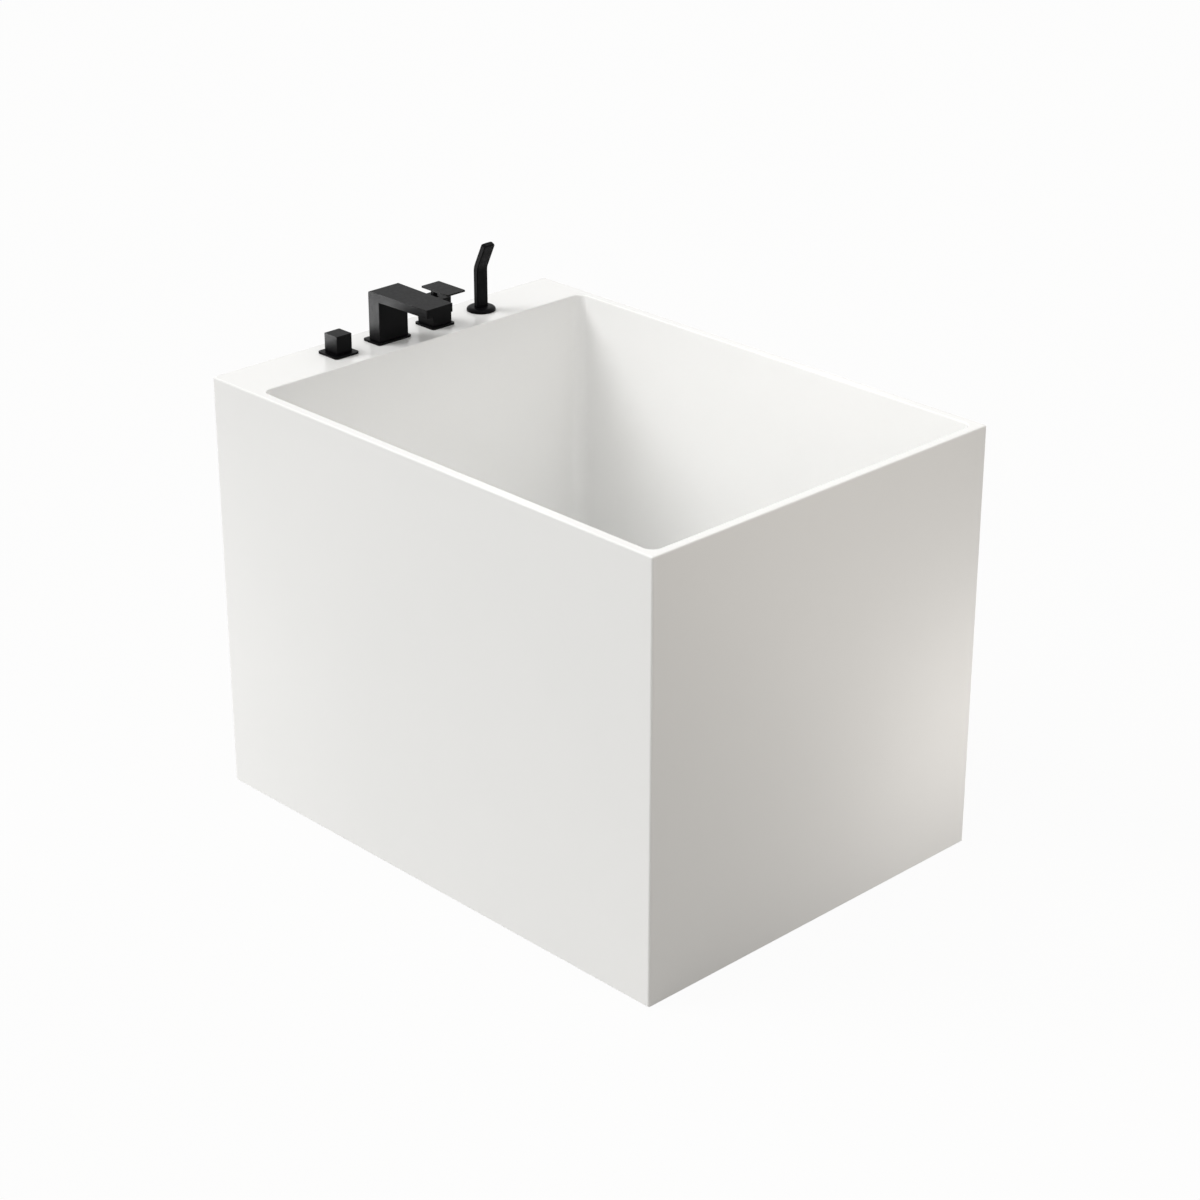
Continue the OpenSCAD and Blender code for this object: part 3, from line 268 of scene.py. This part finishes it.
def add_floor():
    """A wide pale floor that shows white and keeps a little of the object's shadow."""
    data = bpy.data.meshes.new("studio_floor")
    corners = ((-1, -1), (1, -1), (1, 1), (-1, 1))
    data.from_pydata([(x * FLOOR_REACH, y * FLOOR_REACH, 0) for x, y in corners], [], [(0, 1, 2, 3)])
    floor = bpy.data.objects.new("studio_floor", data)
    bpy.context.scene.collection.objects.link(floor)
    shader = Shader("studio_floor_white")
    shader.colour(shader.ramp(shader.noise(0.8, 2), [(0.3, (0.25, 0.245, 0.23)),
                                                     (0.7, (0.27, 0.265, 0.25))]))
    shader.set({"Roughness": 0.9, "Specular IOR Level": 0.1})
    glow = shader.node("ShaderNodeEmission")
    glow.inputs["Strength"].default_value = FLOOR_GLOW
    mix = shader.node("ShaderNodeMixShader")
    seen = seen_rays(shader.tree)
    share = shader.node("ShaderNodeMath", operation="MULTIPLY")
    share.inputs[1].default_value = FLOOR_WHITE_SHARE
    shader.link(seen, share.inputs[0])
    shader.link(share.outputs[0], mix.inputs["Fac"])
    shader.link(shader.bsdf.outputs[0], mix.inputs[1])
    shader.link(glow.outputs[0], mix.inputs[2])
    shader.link(mix.outputs[0], shader.tree.nodes["Material Output"].inputs["Surface"])
    data.materials.append(shader.material)


def seen_rays(tree):
    """1 for rays that show the background: from the camera, or mirrored or let through by a piece."""
    path = tree.nodes.new("ShaderNodeLightPath")
    seen = path.outputs["Is Camera Ray"]
    for kind in ("Is Glossy Ray", "Is Transmission Ray"):
        larger = tree.nodes.new("ShaderNodeMath")
        larger.operation = "MAXIMUM"
        tree.links.new(seen, larger.inputs[0])
        tree.links.new(path.outputs[kind], larger.inputs[1])
        seen = larger.outputs[0]
    return seen


def add_world():
    """White where it is seen; as light, a soft sky that is brighter overhead than at the horizon."""
    world = bpy.data.worlds.new("studio_world")
    world.use_nodes = True
    tree = world.node_tree
    direction = tree.nodes.new("ShaderNodeSeparateXYZ")
    sky = tree.nodes.new("ShaderNodeValToRGB")
    horizon, zenith = sky.color_ramp.elements
    horizon.color = (*HORIZON, 1)
    zenith.color = (*ZENITH, 1)
    mix = tree.nodes.new("ShaderNodeMix")
    mix.data_type = "RGBA"
    mix.inputs["B"].default_value = (*WHITE, 1)
    coordinates = tree.nodes.new("ShaderNodeTexCoord")
    tree.links.new(coordinates.outputs["Generated"], direction.inputs["Vector"])
    tree.links.new(direction.outputs["Z"], sky.inputs["Fac"])
    tree.links.new(sky.outputs["Color"], mix.inputs["A"])
    tree.links.new(seen_rays(tree), mix.inputs["Factor"])
    tree.links.new(mix.outputs["Result"], tree.nodes["Background"].inputs["Color"])
    bpy.context.scene.world = world


def add_area_light(name, place, target, size, power, colour, spread=180, lit=()):
    """A soft lamp. With lit it shines on those pieces alone, and they mirror it too."""
    data = bpy.data.lights.new(name, "AREA")
    data.shape = "RECTANGLE"
    data.size, data.size_y = size
    data.energy = power
    data.color = colour
    data.spread = math.radians(spread)
    light = bpy.data.objects.new(name, data)
    light.location = place
    aim = Vector(target) - Vector(place)
    light.rotation_euler = aim.to_track_quat("-Z", "Y").to_euler()
    light.visible_camera = False
    light.visible_glossy = bool(lit)
    if lit:
        receivers = bpy.data.collections.new(name + "_pieces")
        for piece in lit:
            receivers.objects.link(piece)
        light.light_linking.receiver_collection = receivers
    bpy.context.scene.collection.objects.link(light)


def add_sun(name, direction, angle, strength):
    data = bpy.data.lights.new(name, "SUN")
    data.angle = math.radians(angle)
    data.energy = strength
    light = bpy.data.objects.new(name, data)
    light.rotation_euler = Vector(direction).to_track_quat("Z", "Y").to_euler()
    light.visible_glossy = False
    bpy.context.scene.collection.objects.link(light)


# Mesh building blocks; every one works in millimetres

def as_object(name, bm):
    """An object from a bmesh in millimetres, its faces turned outwards."""
    bm.normal_update()
    bmesh.ops.recalc_face_normals(bm, faces=bm.faces)
    bm.transform(Matrix.Scale(MM, 4))
    data = bpy.data.meshes.new(name)
    bm.to_mesh(data)
    bm.free()
    made = bpy.data.objects.new(name, data)
    bpy.context.scene.collection.objects.link(made)
    return made


def finish_piece(name, bm, body, slot_name, replaced, cutters=()):
    """Turns a bmesh in millimetres into a named piece that rides on a body and replaces a node."""
    piece = as_object(name, bm)
    for cutter in cutters:
        cut(piece, cutter)
    if cutters:
        clean = bmesh.new()
        clean.from_mesh(piece.data)
        bmesh.ops.remove_doubles(clean, verts=clean.verts, dist=MERGE_REACH)
        bmesh.ops.dissolve_degenerate(clean, edges=clean.edges, dist=MERGE_REACH)
        clean.to_mesh(piece.data)
        clean.free()
    piece.data.shade_smooth()
    piece.data.set_sharp_from_angle(angle=math.radians(SHARP_DRESSED))
    weighted = piece.modifiers.new("weighted", "WEIGHTED_NORMAL")
    weighted.keep_sharp = True
    weighted.weight = 100
    piece.data.materials.append(MATERIALS[slot_name])
    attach(piece, body)
    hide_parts(replaced)


def cut(piece, bm):
    """Takes a bmesh in millimetres away from a piece's mesh."""
    cutter = as_object("cutter", bm)
    modifier = piece.modifiers.new("cut", "BOOLEAN")
    modifier.operation = "DIFFERENCE"
    modifier.solver = "EXACT"
    modifier.object = cutter
    graph = bpy.context.evaluated_depsgraph_get()
    cut_mesh = bpy.data.meshes.new_from_object(piece.evaluated_get(graph))
    piece.modifiers.remove(modifier)
    piece.data = cut_mesh
    cut_mesh.name = piece.name
    bpy.data.objects.remove(cutter)


def loft(rings):
    """A closed solid through rings with equally many points."""
    bm = bmesh.new()
    made = [[bm.verts.new(point) for point in ring] for ring in rings]
    count = len(rings[0])
    for lower, upper in zip(made, made[1:]):
        for j in range(count):
            k = (j + 1) % count
            bm.faces.new((lower[j], upper[j], upper[k], lower[k]))
    bm.faces.new(made[0])
    bm.faces.new(made[-1][::-1])
    return bm


def prism(outline, low, high, plane="XY"):
    """An outline pulled from low to high along the axis that its plane leaves out."""
    place = {"XY": lambda u, v, w: (u, v, w), "XZ": lambda u, v, w: (u, w, v)}[plane]
    return loft([[place(u, v, low) for u, v in outline], [place(u, v, high) for u, v in outline]])


def rounded_outline(x0, x1, y0, y1, radius, steps=6):
    """A rectangle's outline, counterclockwise, its corners rounded in this many steps."""
    points = []
    for k, (cx, cy) in enumerate(((x1 - radius, y1 - radius), (x0 + radius, y1 - radius),
                                  (x0 + radius, y0 + radius), (x1 - radius, y0 + radius))):
        for i in range(steps + 1):
            a = math.radians(90 * (k + i / steps))
            points.append((cx + radius * math.cos(a), cy + radius * math.sin(a)))
    return points


def bevelled(bm, width, segments=3, keep=None, over=40):
    """Rounds the edges whose faces meet at more than over degrees; keep(edge) may spare one."""
    limit = math.radians(over)
    edges = [e for e in bm.edges if len(e.link_faces) == 2 and e.calc_face_angle(0) > limit
             and not (keep and keep(e))]
    bmesh.ops.bevel(bm, geom=edges, offset=width, segments=segments, profile=0.5, affect="EDGES",
                    clamp_overlap=True)
    return bm


def box(x0, x1, y0, y1, z0, z1):
    return prism([(x1, y1), (x0, y1), (x0, y0), (x1, y0)], z0, z1)


def lathe(profile, steps=64, at=(0, 0, 0), matrix=None):
    """Turns an open profile of (radius, height) round the z axis; both its ends lie on the axis
    or it closes on itself."""
    bm = bmesh.new()
    rings = []
    for r, z in profile:
        if r < 1e-6:
            rings.append([bm.verts.new((0, 0, z))])
        else:
            rings.append([bm.verts.new((r * math.cos(2 * math.pi * j / steps),
                                        r * math.sin(2 * math.pi * j / steps), z))
                          for j in range(steps)])
    closed = profile[0][0] > 1e-6 and profile[-1][0] > 1e-6
    pairs = list(zip(rings, rings[1:])) + ([(rings[-1], rings[0])] if closed else [])
    for lower, upper in pairs:
        for j in range(steps):
            k = (j + 1) % steps
            corners = []
            for vert in (lower[j % len(lower)], lower[k % len(lower)],
                         upper[k % len(upper)], upper[j % len(upper)]):
                if vert not in corners:
                    corners.append(vert)
            bm.faces.new(corners)
    bm.transform(Matrix.Translation(at) @ (matrix or Matrix.Identity(4)))
    return bm


def arc(cx, cz, r, start, end, steps=5):
    """Points on an arc, from start to end degrees."""
    return [(cx + r * math.cos(math.radians(start + (end - start) * i / steps)),
             cz + r * math.sin(math.radians(start + (end - start) * i / steps)))
            for i in range(steps + 1)]


def merged(*parts):
    """Several bmeshes as one."""
    whole = bmesh.new()
    for part in parts:
        data = bpy.data.meshes.new("part")
        part.to_mesh(data)
        part.free()
        whole.from_mesh(data)
        bpy.data.meshes.remove(data)
    return whole


# The tub

def basin_ring(z, offset, level):
    """The basin's outline at height z, moved outwards by offset and drawn at level."""
    t = (BODY_H - z) / (BODY_H - FLOOR_Z)
    radius = MOUTH_CORNER_R + (FLOOR_CORNER_R - MOUTH_CORNER_R) * t + offset
    y = MOUTH_Y - WALL_DRAFT * t + offset
    points = rounded_outline(MOUTH_X0 + WALL_DRAFT * t - offset, MOUTH_X1 - BACK_LEAN * t + offset,
                             -y, y, radius, CORNER_STEPS)
    return [(px, py, level) for px, py in points]


def fillet_ring(angle, thickness):
    """A ring on the fillet between wall (0 degrees) and floor (90), thickness below its surface."""
    a = math.radians(angle)
    z = FLOOR_Z + FLOOR_ROUND * (1 - math.sin(a))
    return basin_ring(z, thickness * math.cos(a) - FLOOR_ROUND * (1 - math.cos(a)),
                      z - thickness * math.sin(a))


def rim_ring(inset, level):
    """The tub's outer outline, moved inwards by inset and drawn at level."""
    points = rounded_outline(inset - BODY_L / 2, BODY_L / 2 - inset, inset - BODY_W / 2,
                             BODY_W / 2 - inset, EDGE_R - inset, CORNER_STEPS)
    return [(px, py, level) for px, py in points]


def drum(r, z0, z1, at, matrix=None):
    """A cylinder along z, from z0 to z1 above the place at."""
    return lathe([(0, z0), (r, z0), (r, z1), (0, z1)], 64, at, matrix)


def overflow_matrix():
    """Frame of the overflow: its centre on the leaning end wall, z out of the basin through the wall."""
    lean = math.atan(BACK_LEAN / (BODY_H - FLOOR_Z))
    return (Matrix.Translation((MOUTH_X1, 0, BODY_H)) @ Matrix.Rotation(lean, 4, "Y")
            @ Matrix.Translation((0, 0, -OVERFLOW_DROP)) @ Matrix.Rotation(math.radians(90), 4, "Y"))


def build_shell():
    """Basin, rim and deck in one: up its underside, over the rim and down the basin's inside."""
    under = BODY_H - SHELL_T
    rings = [fillet_ring(90 - 90 * i / FILLET_STEPS, SHELL_T) for i in range(FILLET_STEPS + 1)]
    rings += [basin_ring(under, SHELL_T, under), rim_ring(0, under)]
    for i in range(ROUND_STEPS + 1):
        a = math.radians(90 * i / ROUND_STEPS)
        rings.append(rim_ring(RIM_ROUND * (1 - math.cos(a)), BODY_H - RIM_ROUND * (1 - math.sin(a))))
    for i in range(ROUND_STEPS + 1):
        a = math.radians(90 * i / ROUND_STEPS)
        z = BODY_H - MOUTH_ROUND * (1 - math.cos(a))
        rings.append(basin_ring(z, MOUTH_ROUND * (1 - math.sin(a)), z))
    rings += [fillet_ring(90 * i / FILLET_STEPS, 0) for i in range(FILLET_STEPS + 1)]
    holes = [drum(TAP_HOLE_R, -10, 10, (TAP_X, y, BODY_H - 3))
             for y in (DIVERTER_Y, SPOUT_Y, MIXER_Y, HANDSET_Y)]
    holes.append(drum(DRAIN_HOLE_R, -10, 10, (DRAIN_X, 0, FLOOR_Z - 3)))
    holes.append(drum(OVERFLOW_HOLE_R, -8, 15, (0, 0, 0), overflow_matrix()))
    finish_piece("basin_shell_smooth", loft(rings), "tub", "acrylic", "basin_shell", holes)


def build_drain():
    under, top = FLOOR_Z + 1.5, FLOOR_Z + 4.5
    flange = lathe([(DRAIN_BORE_R, DRAIN_LOW), (DRAIN_TUBE_R, DRAIN_LOW), (DRAIN_TUBE_R, under),
                    (35, under), *arc(33.2, top - 1.8, 1.8, 0, 90), (27, top - 0.3), (24, top - 1.1),
                    (20, top - 2.4), (DRAIN_BORE_R, top - 2.9)], 96, (DRAIN_X, 0, 0))
    hub = lathe([(HUB_BORE_R, HUB_LOW), (HUB_R, HUB_LOW), (HUB_R, HUB_HIGH), (HUB_BORE_R, HUB_HIGH)], 48,
                (DRAIN_X, 0, 0))
    arms = [bevelled(box(DRAIN_X + x0, DRAIN_X + x1, y0, y1, HUB_LOW + 0.5, HUB_HIGH - 0.5), 0.6, 2)
            for x0, x1, y0, y1 in ((11, 19, -2, 2), (-19, -11, -2, 2), (-2, 2, 11, 19), (-2, 2, -19, -11))]
    finish_piece("drain_flange", merged(flange, hub, *arms), "tub", "black_metal", "waste_flange")

    cap_low = FLOOR_Z + 6.5
    plug = [(0, 131), (2.2, 131), (3, 131.8), (3, cap_low), (30.4, cap_low), (31, cap_low + 0.6),
            (31, cap_low + 1.4), *arc(28.6, cap_low + 1.4, 2.3, 10, 80), (20, cap_low + 3.85),
            (8, cap_low + 4), (0, cap_low + 4)]
    finish_piece("drain_plug_cap", lathe(plug, 96, (DRAIN_X, 0, 0)), "waste_plug", "black_metal",
                 "drain_plug")


def build_overflow():
    back, front = -COVER_GAP, -COVER_GAP - COVER_T
    disc = lathe([(0, front), *arc(COVER_R - 1.4, front + 1.4, 1.4, -90, 0),
                  (COVER_R, back - 0.4), (COVER_R - 0.4, back), (0, back)], 96)
    ring = lathe([(20.3, -3.5), (29, -3.5), (29, -1.5), (20.3, -1.5)], 64)
    posts = [lathe([(0, back - 0.2), (2, back - 0.2), (2, -3.4), (0, -3.4)], 20,
                   (POST_CIRCLE_R * math.cos(math.radians(a)),
                    POST_CIRCLE_R * math.sin(math.radians(a)), 0))
             for a in (45, 135, 225, 315)]
    cover = merged(disc, ring, *posts)
    cover.transform(overflow_matrix())
    finish_piece("overflow_cover_disc", cover, "tub", "black_metal", "overflow_cover")


# The taps

def build_cover_plate(name, node, y, depth=PLATE_SIDE, width=PLATE_SIDE, bore_r=PLATE_BORE_R):
    """A plate on the deck with rounded upper edges and a bore for the shank below it."""
    outline = rounded_outline(TAP_X - depth / 2, TAP_X + depth / 2, y - width / 2, y + width / 2, PLATE_R)
    plate = prism(outline, BODY_H, PLATE_TOP)
    bevelled(plate, 1.0, keep=lambda e: max(v.co.z for v in e.verts) < BODY_H + 1)
    finish_piece(name, plate, "tub", "black_metal", node, [drum(bore_r, -5, 5, (TAP_X, y, BODY_H + 2))])


def build_diverter():
    build_cover_plate("diverter_cover_plate", "diverter_plate_cover", DIVERTER_Y)
    half, low = KNOB_SIDE / 2, PLATE_TOP + SLIP
    cube = box(TAP_X - half, TAP_X + half, DIVERTER_Y - half, DIVERTER_Y + half, low, low + KNOB_SIDE)
    finish_piece("diverter_cube_knob", bevelled(cube, 1.6, 5), "diverter_control", "black_metal",
                 "diverter_knob", [drum(SPINDLE_BORE_R, -1, 18, (TAP_X, DIVERTER_Y, low))])


def build_spout():
    build_cover_plate("spout_cover_plate", "spout_plate_cover", SPOUT_Y, SPOUT_PLATE_DEPTH,
                      SPOUT_PLATE_WIDTH, SPOUT_PLATE_BORE_R)
    x0, under_arm = TAP_X - 9, SPOUT_TOP - SPOUT_ARM
    x1 = x0 + SPOUT_LEN
    side = [(x0, PLATE_TOP), (x0 + SPOUT_COLUMN, PLATE_TOP), (x0 + SPOUT_COLUMN, under_arm),
            (x1, under_arm), (x1, SPOUT_TOP),
            *arc(x0 + SPOUT_BACK_R, SPOUT_TOP - SPOUT_BACK_R, SPOUT_BACK_R, 90, 180, 8)]
    body = prism(side, -1, 1, "XZ")
    for vert in body.verts:
        reach = (vert.co.x - x0) / SPOUT_LEN
        vert.co.y *= SPOUT_BACK_HALF + (SPOUT_TIP_HALF - SPOUT_BACK_HALF) * reach
        vert.co.y += SPOUT_Y
    bevelled(body, 1.5, 4)
    slot = box(x1 - 12, x1 - 3, SPOUT_Y - 22, SPOUT_Y + 22, under_arm - 2, SPOUT_TOP - 3)
    neck_hole = drum(SPOUT_NECK_R, -2, 16, (TAP_X, SPOUT_Y, PLATE_TOP))
    finish_piece("cascade_spout", body, "tub", "black_metal", "spout_body", [slot, neck_hole])


def build_mixer():
    build_cover_plate("mixer_cover_plate", "mixer_plate_cover", MIXER_Y)
    outline = rounded_outline(TAP_X - MIXER_HALF, TAP_X + MIXER_HALF, MIXER_Y - MIXER_HALF,
                              MIXER_Y + MIXER_HALF, 1.5, 4)
    finish_piece("mixer_square_body", bevelled(prism(outline, PLATE_TOP, MIXER_TOP), 0.4, 2), "tub",
                 "black_metal", "mixer_body", [drum(MIXER_BORE_R, -30, 5, (TAP_X, MIXER_Y, MIXER_TOP))])
    closing = bevelled(prism(outline, MIXER_TOP, MIXER_TOP + CLOSING_T), 0.8, 3)
    finish_piece("mixer_closing_plate", closing, "tub", "black_metal", "mixer_top_plate",
                 [drum(CLOSING_BORE_R, -5, 9, (TAP_X, MIXER_Y, MIXER_TOP))])
    lever = rounded_outline(TAP_X - 11, TAP_X + 63, MIXER_Y - 21.5, MIXER_Y + 21.5, 1.6, 5)
    blade = bevelled(prism(lever, LEVER_LOW, LEVER_HIGH), 0.8, 3)
    neck_outline = rounded_outline(TAP_X - 4, TAP_X + 4, MIXER_Y - 5.2, MIXER_Y + 5.2, 1.2, 3)
    neck = prism(neck_outline, MIXER_PIVOT, LEVER_LOW + 1)
    knuckle = lathe([(0, -5.2), (4, -5.2), (4, 5.2), (0, 5.2)], 32, (TAP_X, MIXER_Y, MIXER_PIVOT),
                    Matrix.Rotation(math.radians(90), 4, "X"))
    finish_piece("mixer_lever_blade", merged(blade, neck, knuckle), "mixer_handle", "black_metal",
                 "mixer_lever")


def head_matrix():
    """Frame of the tilted head: x across its width, y along it, z out of its spray face."""
    to_head = Matrix(((0, 0, 1, 0), (1, 0, 0, 0), (0, 1, 0, 0), (0, 0, 0, 1)))
    return (Matrix.Translation((TAP_X, HANDSET_Y, BODY_H + BEND_H))
            @ Matrix.Rotation(math.radians(HEAD_TILT), 4, "Y") @ to_head)


def bar_ring(x, z, angle, inset_d=0.0, inset_w=0.0):
    """Cross-section of the bent bar about (x, z), standing square to a path at this angle."""
    half_d, half_w = BAR_D / 2 - inset_d, BAR_W / 2 - inset_w
    radius = min(2.2, half_d - 0.05)
    return [(x + u * math.cos(angle), HANDSET_Y + v, z - u * math.sin(angle))
            for u, v in rounded_outline(-half_d, half_d, -half_w, half_w, radius, 5)]


def bent_bar():
    """The hand shower's flat bar: straight up from its seat, round the bend and to the head's end."""
    tilt, bend = math.radians(HEAD_TILT), BODY_H + BEND_H
    tangent = BEND_R * math.tan(tilt / 2)
    rings = [bar_ring(TAP_X, BAR_SEAT, 0, 0.6, 0.6), bar_ring(TAP_X, BAR_SEAT + 0.6, 0)]
    for i in range(BEND_STEPS + 1):
        a = tilt * i / BEND_STEPS
        rings.append(bar_ring(TAP_X + BEND_R * (1 - math.cos(a)),
                              bend - tangent + BEND_R * math.sin(a), a))
    for i in range(ROUND_STEPS + 1):
        a = math.radians(90 * i / ROUND_STEPS)
        along = HEAD_LEN - HEAD_END_R * (1 - math.sin(a))
        inset = HEAD_END_R * (1 - math.cos(a))
        rings.append(bar_ring(TAP_X + along * math.sin(tilt), bend + along * math.cos(tilt), tilt,
                              min(inset, 2.4) * 0.75, inset))
    return loft([ring[::-1] for ring in rings])


def build_handset():
    low, high = BODY_H, BODY_H + RING_H
    dome = [(0, low), (RING_R - 0.6, low), (RING_R, low + 0.6)]
    dome += [(RING_CROWN_R + (RING_R - RING_CROWN_R) * math.cos(a),
              BODY_H + RING_LIP + (RING_H - RING_LIP) * math.sin(a))
             for a in (math.radians(90 * i / 12) for i in range(13))]
    dome += [(0, high)]
    half_d, half_w = BAR_D / 2 + SLIP, BAR_W / 2 + SLIP
    slot = prism(rounded_outline(TAP_X - half_d, TAP_X + half_d, HANDSET_Y - half_w, HANDSET_Y + half_w,
                                 2.4), low - 5, high + 5)
    finish_piece("hand_shower_base_ring", lathe(dome, 96, (TAP_X, HANDSET_Y, 0)), "tub", "black_metal",
                 "handset_ring", [slot])

    face_z, face_w = BAR_D / 2, BAR_W / 2 - 3
    tail_r, tail_low, tail_high = BAR_D / 2 - 0.1, BAR_SEAT - 22, BAR_SEAT + 1
    tail = lathe([(0, tail_low), (tail_r, tail_low), (tail_r, tail_high), (0, tail_high)], 48,
                 (TAP_X, HANDSET_Y, 0))
    window = prism(rounded_outline(-face_w, face_w, 7, HEAD_LEN - 3, 2.5), face_z - 3.5, face_z + 5)
    window.transform(head_matrix())
    finish_piece("hand_shower_bar", merged(bent_bar(), tail), "hand_shower", "black_metal",
                 "handset_body", [window, drum(4, -1, 14, (TAP_X, HANDSET_Y, tail_low))])

    face = bevelled(prism(rounded_outline(SLIP - face_w, face_w - SLIP, 7.3, HEAD_LEN - 3.3, 2.3),
                          face_z - 3.5, face_z - 0.3), 0.5, 2,
                    keep=lambda e: max(v.co.z for v in e.verts) < face_z - 2)
    nozzle = [(0, face_z - 1), (1.1, face_z - 1), (0.9, face_z), (0.5, face_z + 0.2), (0, face_z + 0.2)]
    nozzles = [lathe(nozzle, 12, (-6.6 + 4.4 * column, 11 + 4.8 * row, 0))
               for row in range(9) for column in range(4)]
    plate = merged(face, *nozzles)
    plate.transform(head_matrix())
    finish_piece("hand_shower_spray_face", plate, "hand_shower", "spray_face", "handset_spray_plate")


def dress_nodes():
    """Gives every CAD node the material of its record slot, threaded where the node is."""
    slots = {subpart["node"]: subpart["material_slot"] for subpart in frame["record"]["subparts"]}
    for name, node in frame["nodes"].items():
        kind = (slots[name], "threaded") if name in THREADED else slots[name]
        node.data.materials.clear()
        node.data.materials.append(MATERIALS[kind])
        node.data.shade_smooth()
        node.data.set_sharp_from_angle(angle=math.radians(SHARP_CAD))


scene = bpy.context.scene
scene.view_settings.view_transform = "Standard"
add_camera()
add_floor()
add_world()
MATERIALS = make_materials()
dress_nodes()
build_shell()
build_drain()
build_overflow()
build_diverter()
build_spout()
build_mixer()
build_handset()

add_sun("key_sun", (-0.64, -0.6, 1.0), 30, 1.66)
add_sun("front_fill_sun", (-0.1, -1.0, 0.35), 60, 0.97)
add_sun("rear_fill_sun", (0.1, 1.0, 0.3), 60, 0.55)
add_area_light("end_softbox", (1.6, 0.0, 1.2), (0.55, 0.05, 0.6), (0.8, 0.5), 3.3, WARM)
add_area_light("corner_fill", (1.05, 0.5, 0.24), (0.55, 0.32, 0.24), (0.35, 0.36), 0.62, PALE_WARM, 130)
add_area_light("front_corner_fill", (-1.1, -1.05, 0.15), (-0.42, -0.4, 0.15), (0.5, 0.4), 1.6, WHITE)
add_area_light("basin_softbox", (0.5, 0.0, 1.05), (-0.43, 0.0, 0.55), (0.7, 0.16), 0.28, WHITE, 80)
add_area_light("tap_softbox", (-0.82, -0.385, 0.67), (-0.49, -0.07, 0.88), (0.16, 0.2), 0.45, WHITE, 70,
               [piece for piece in bpy.data.objects if piece.name in TAP_PIECES])
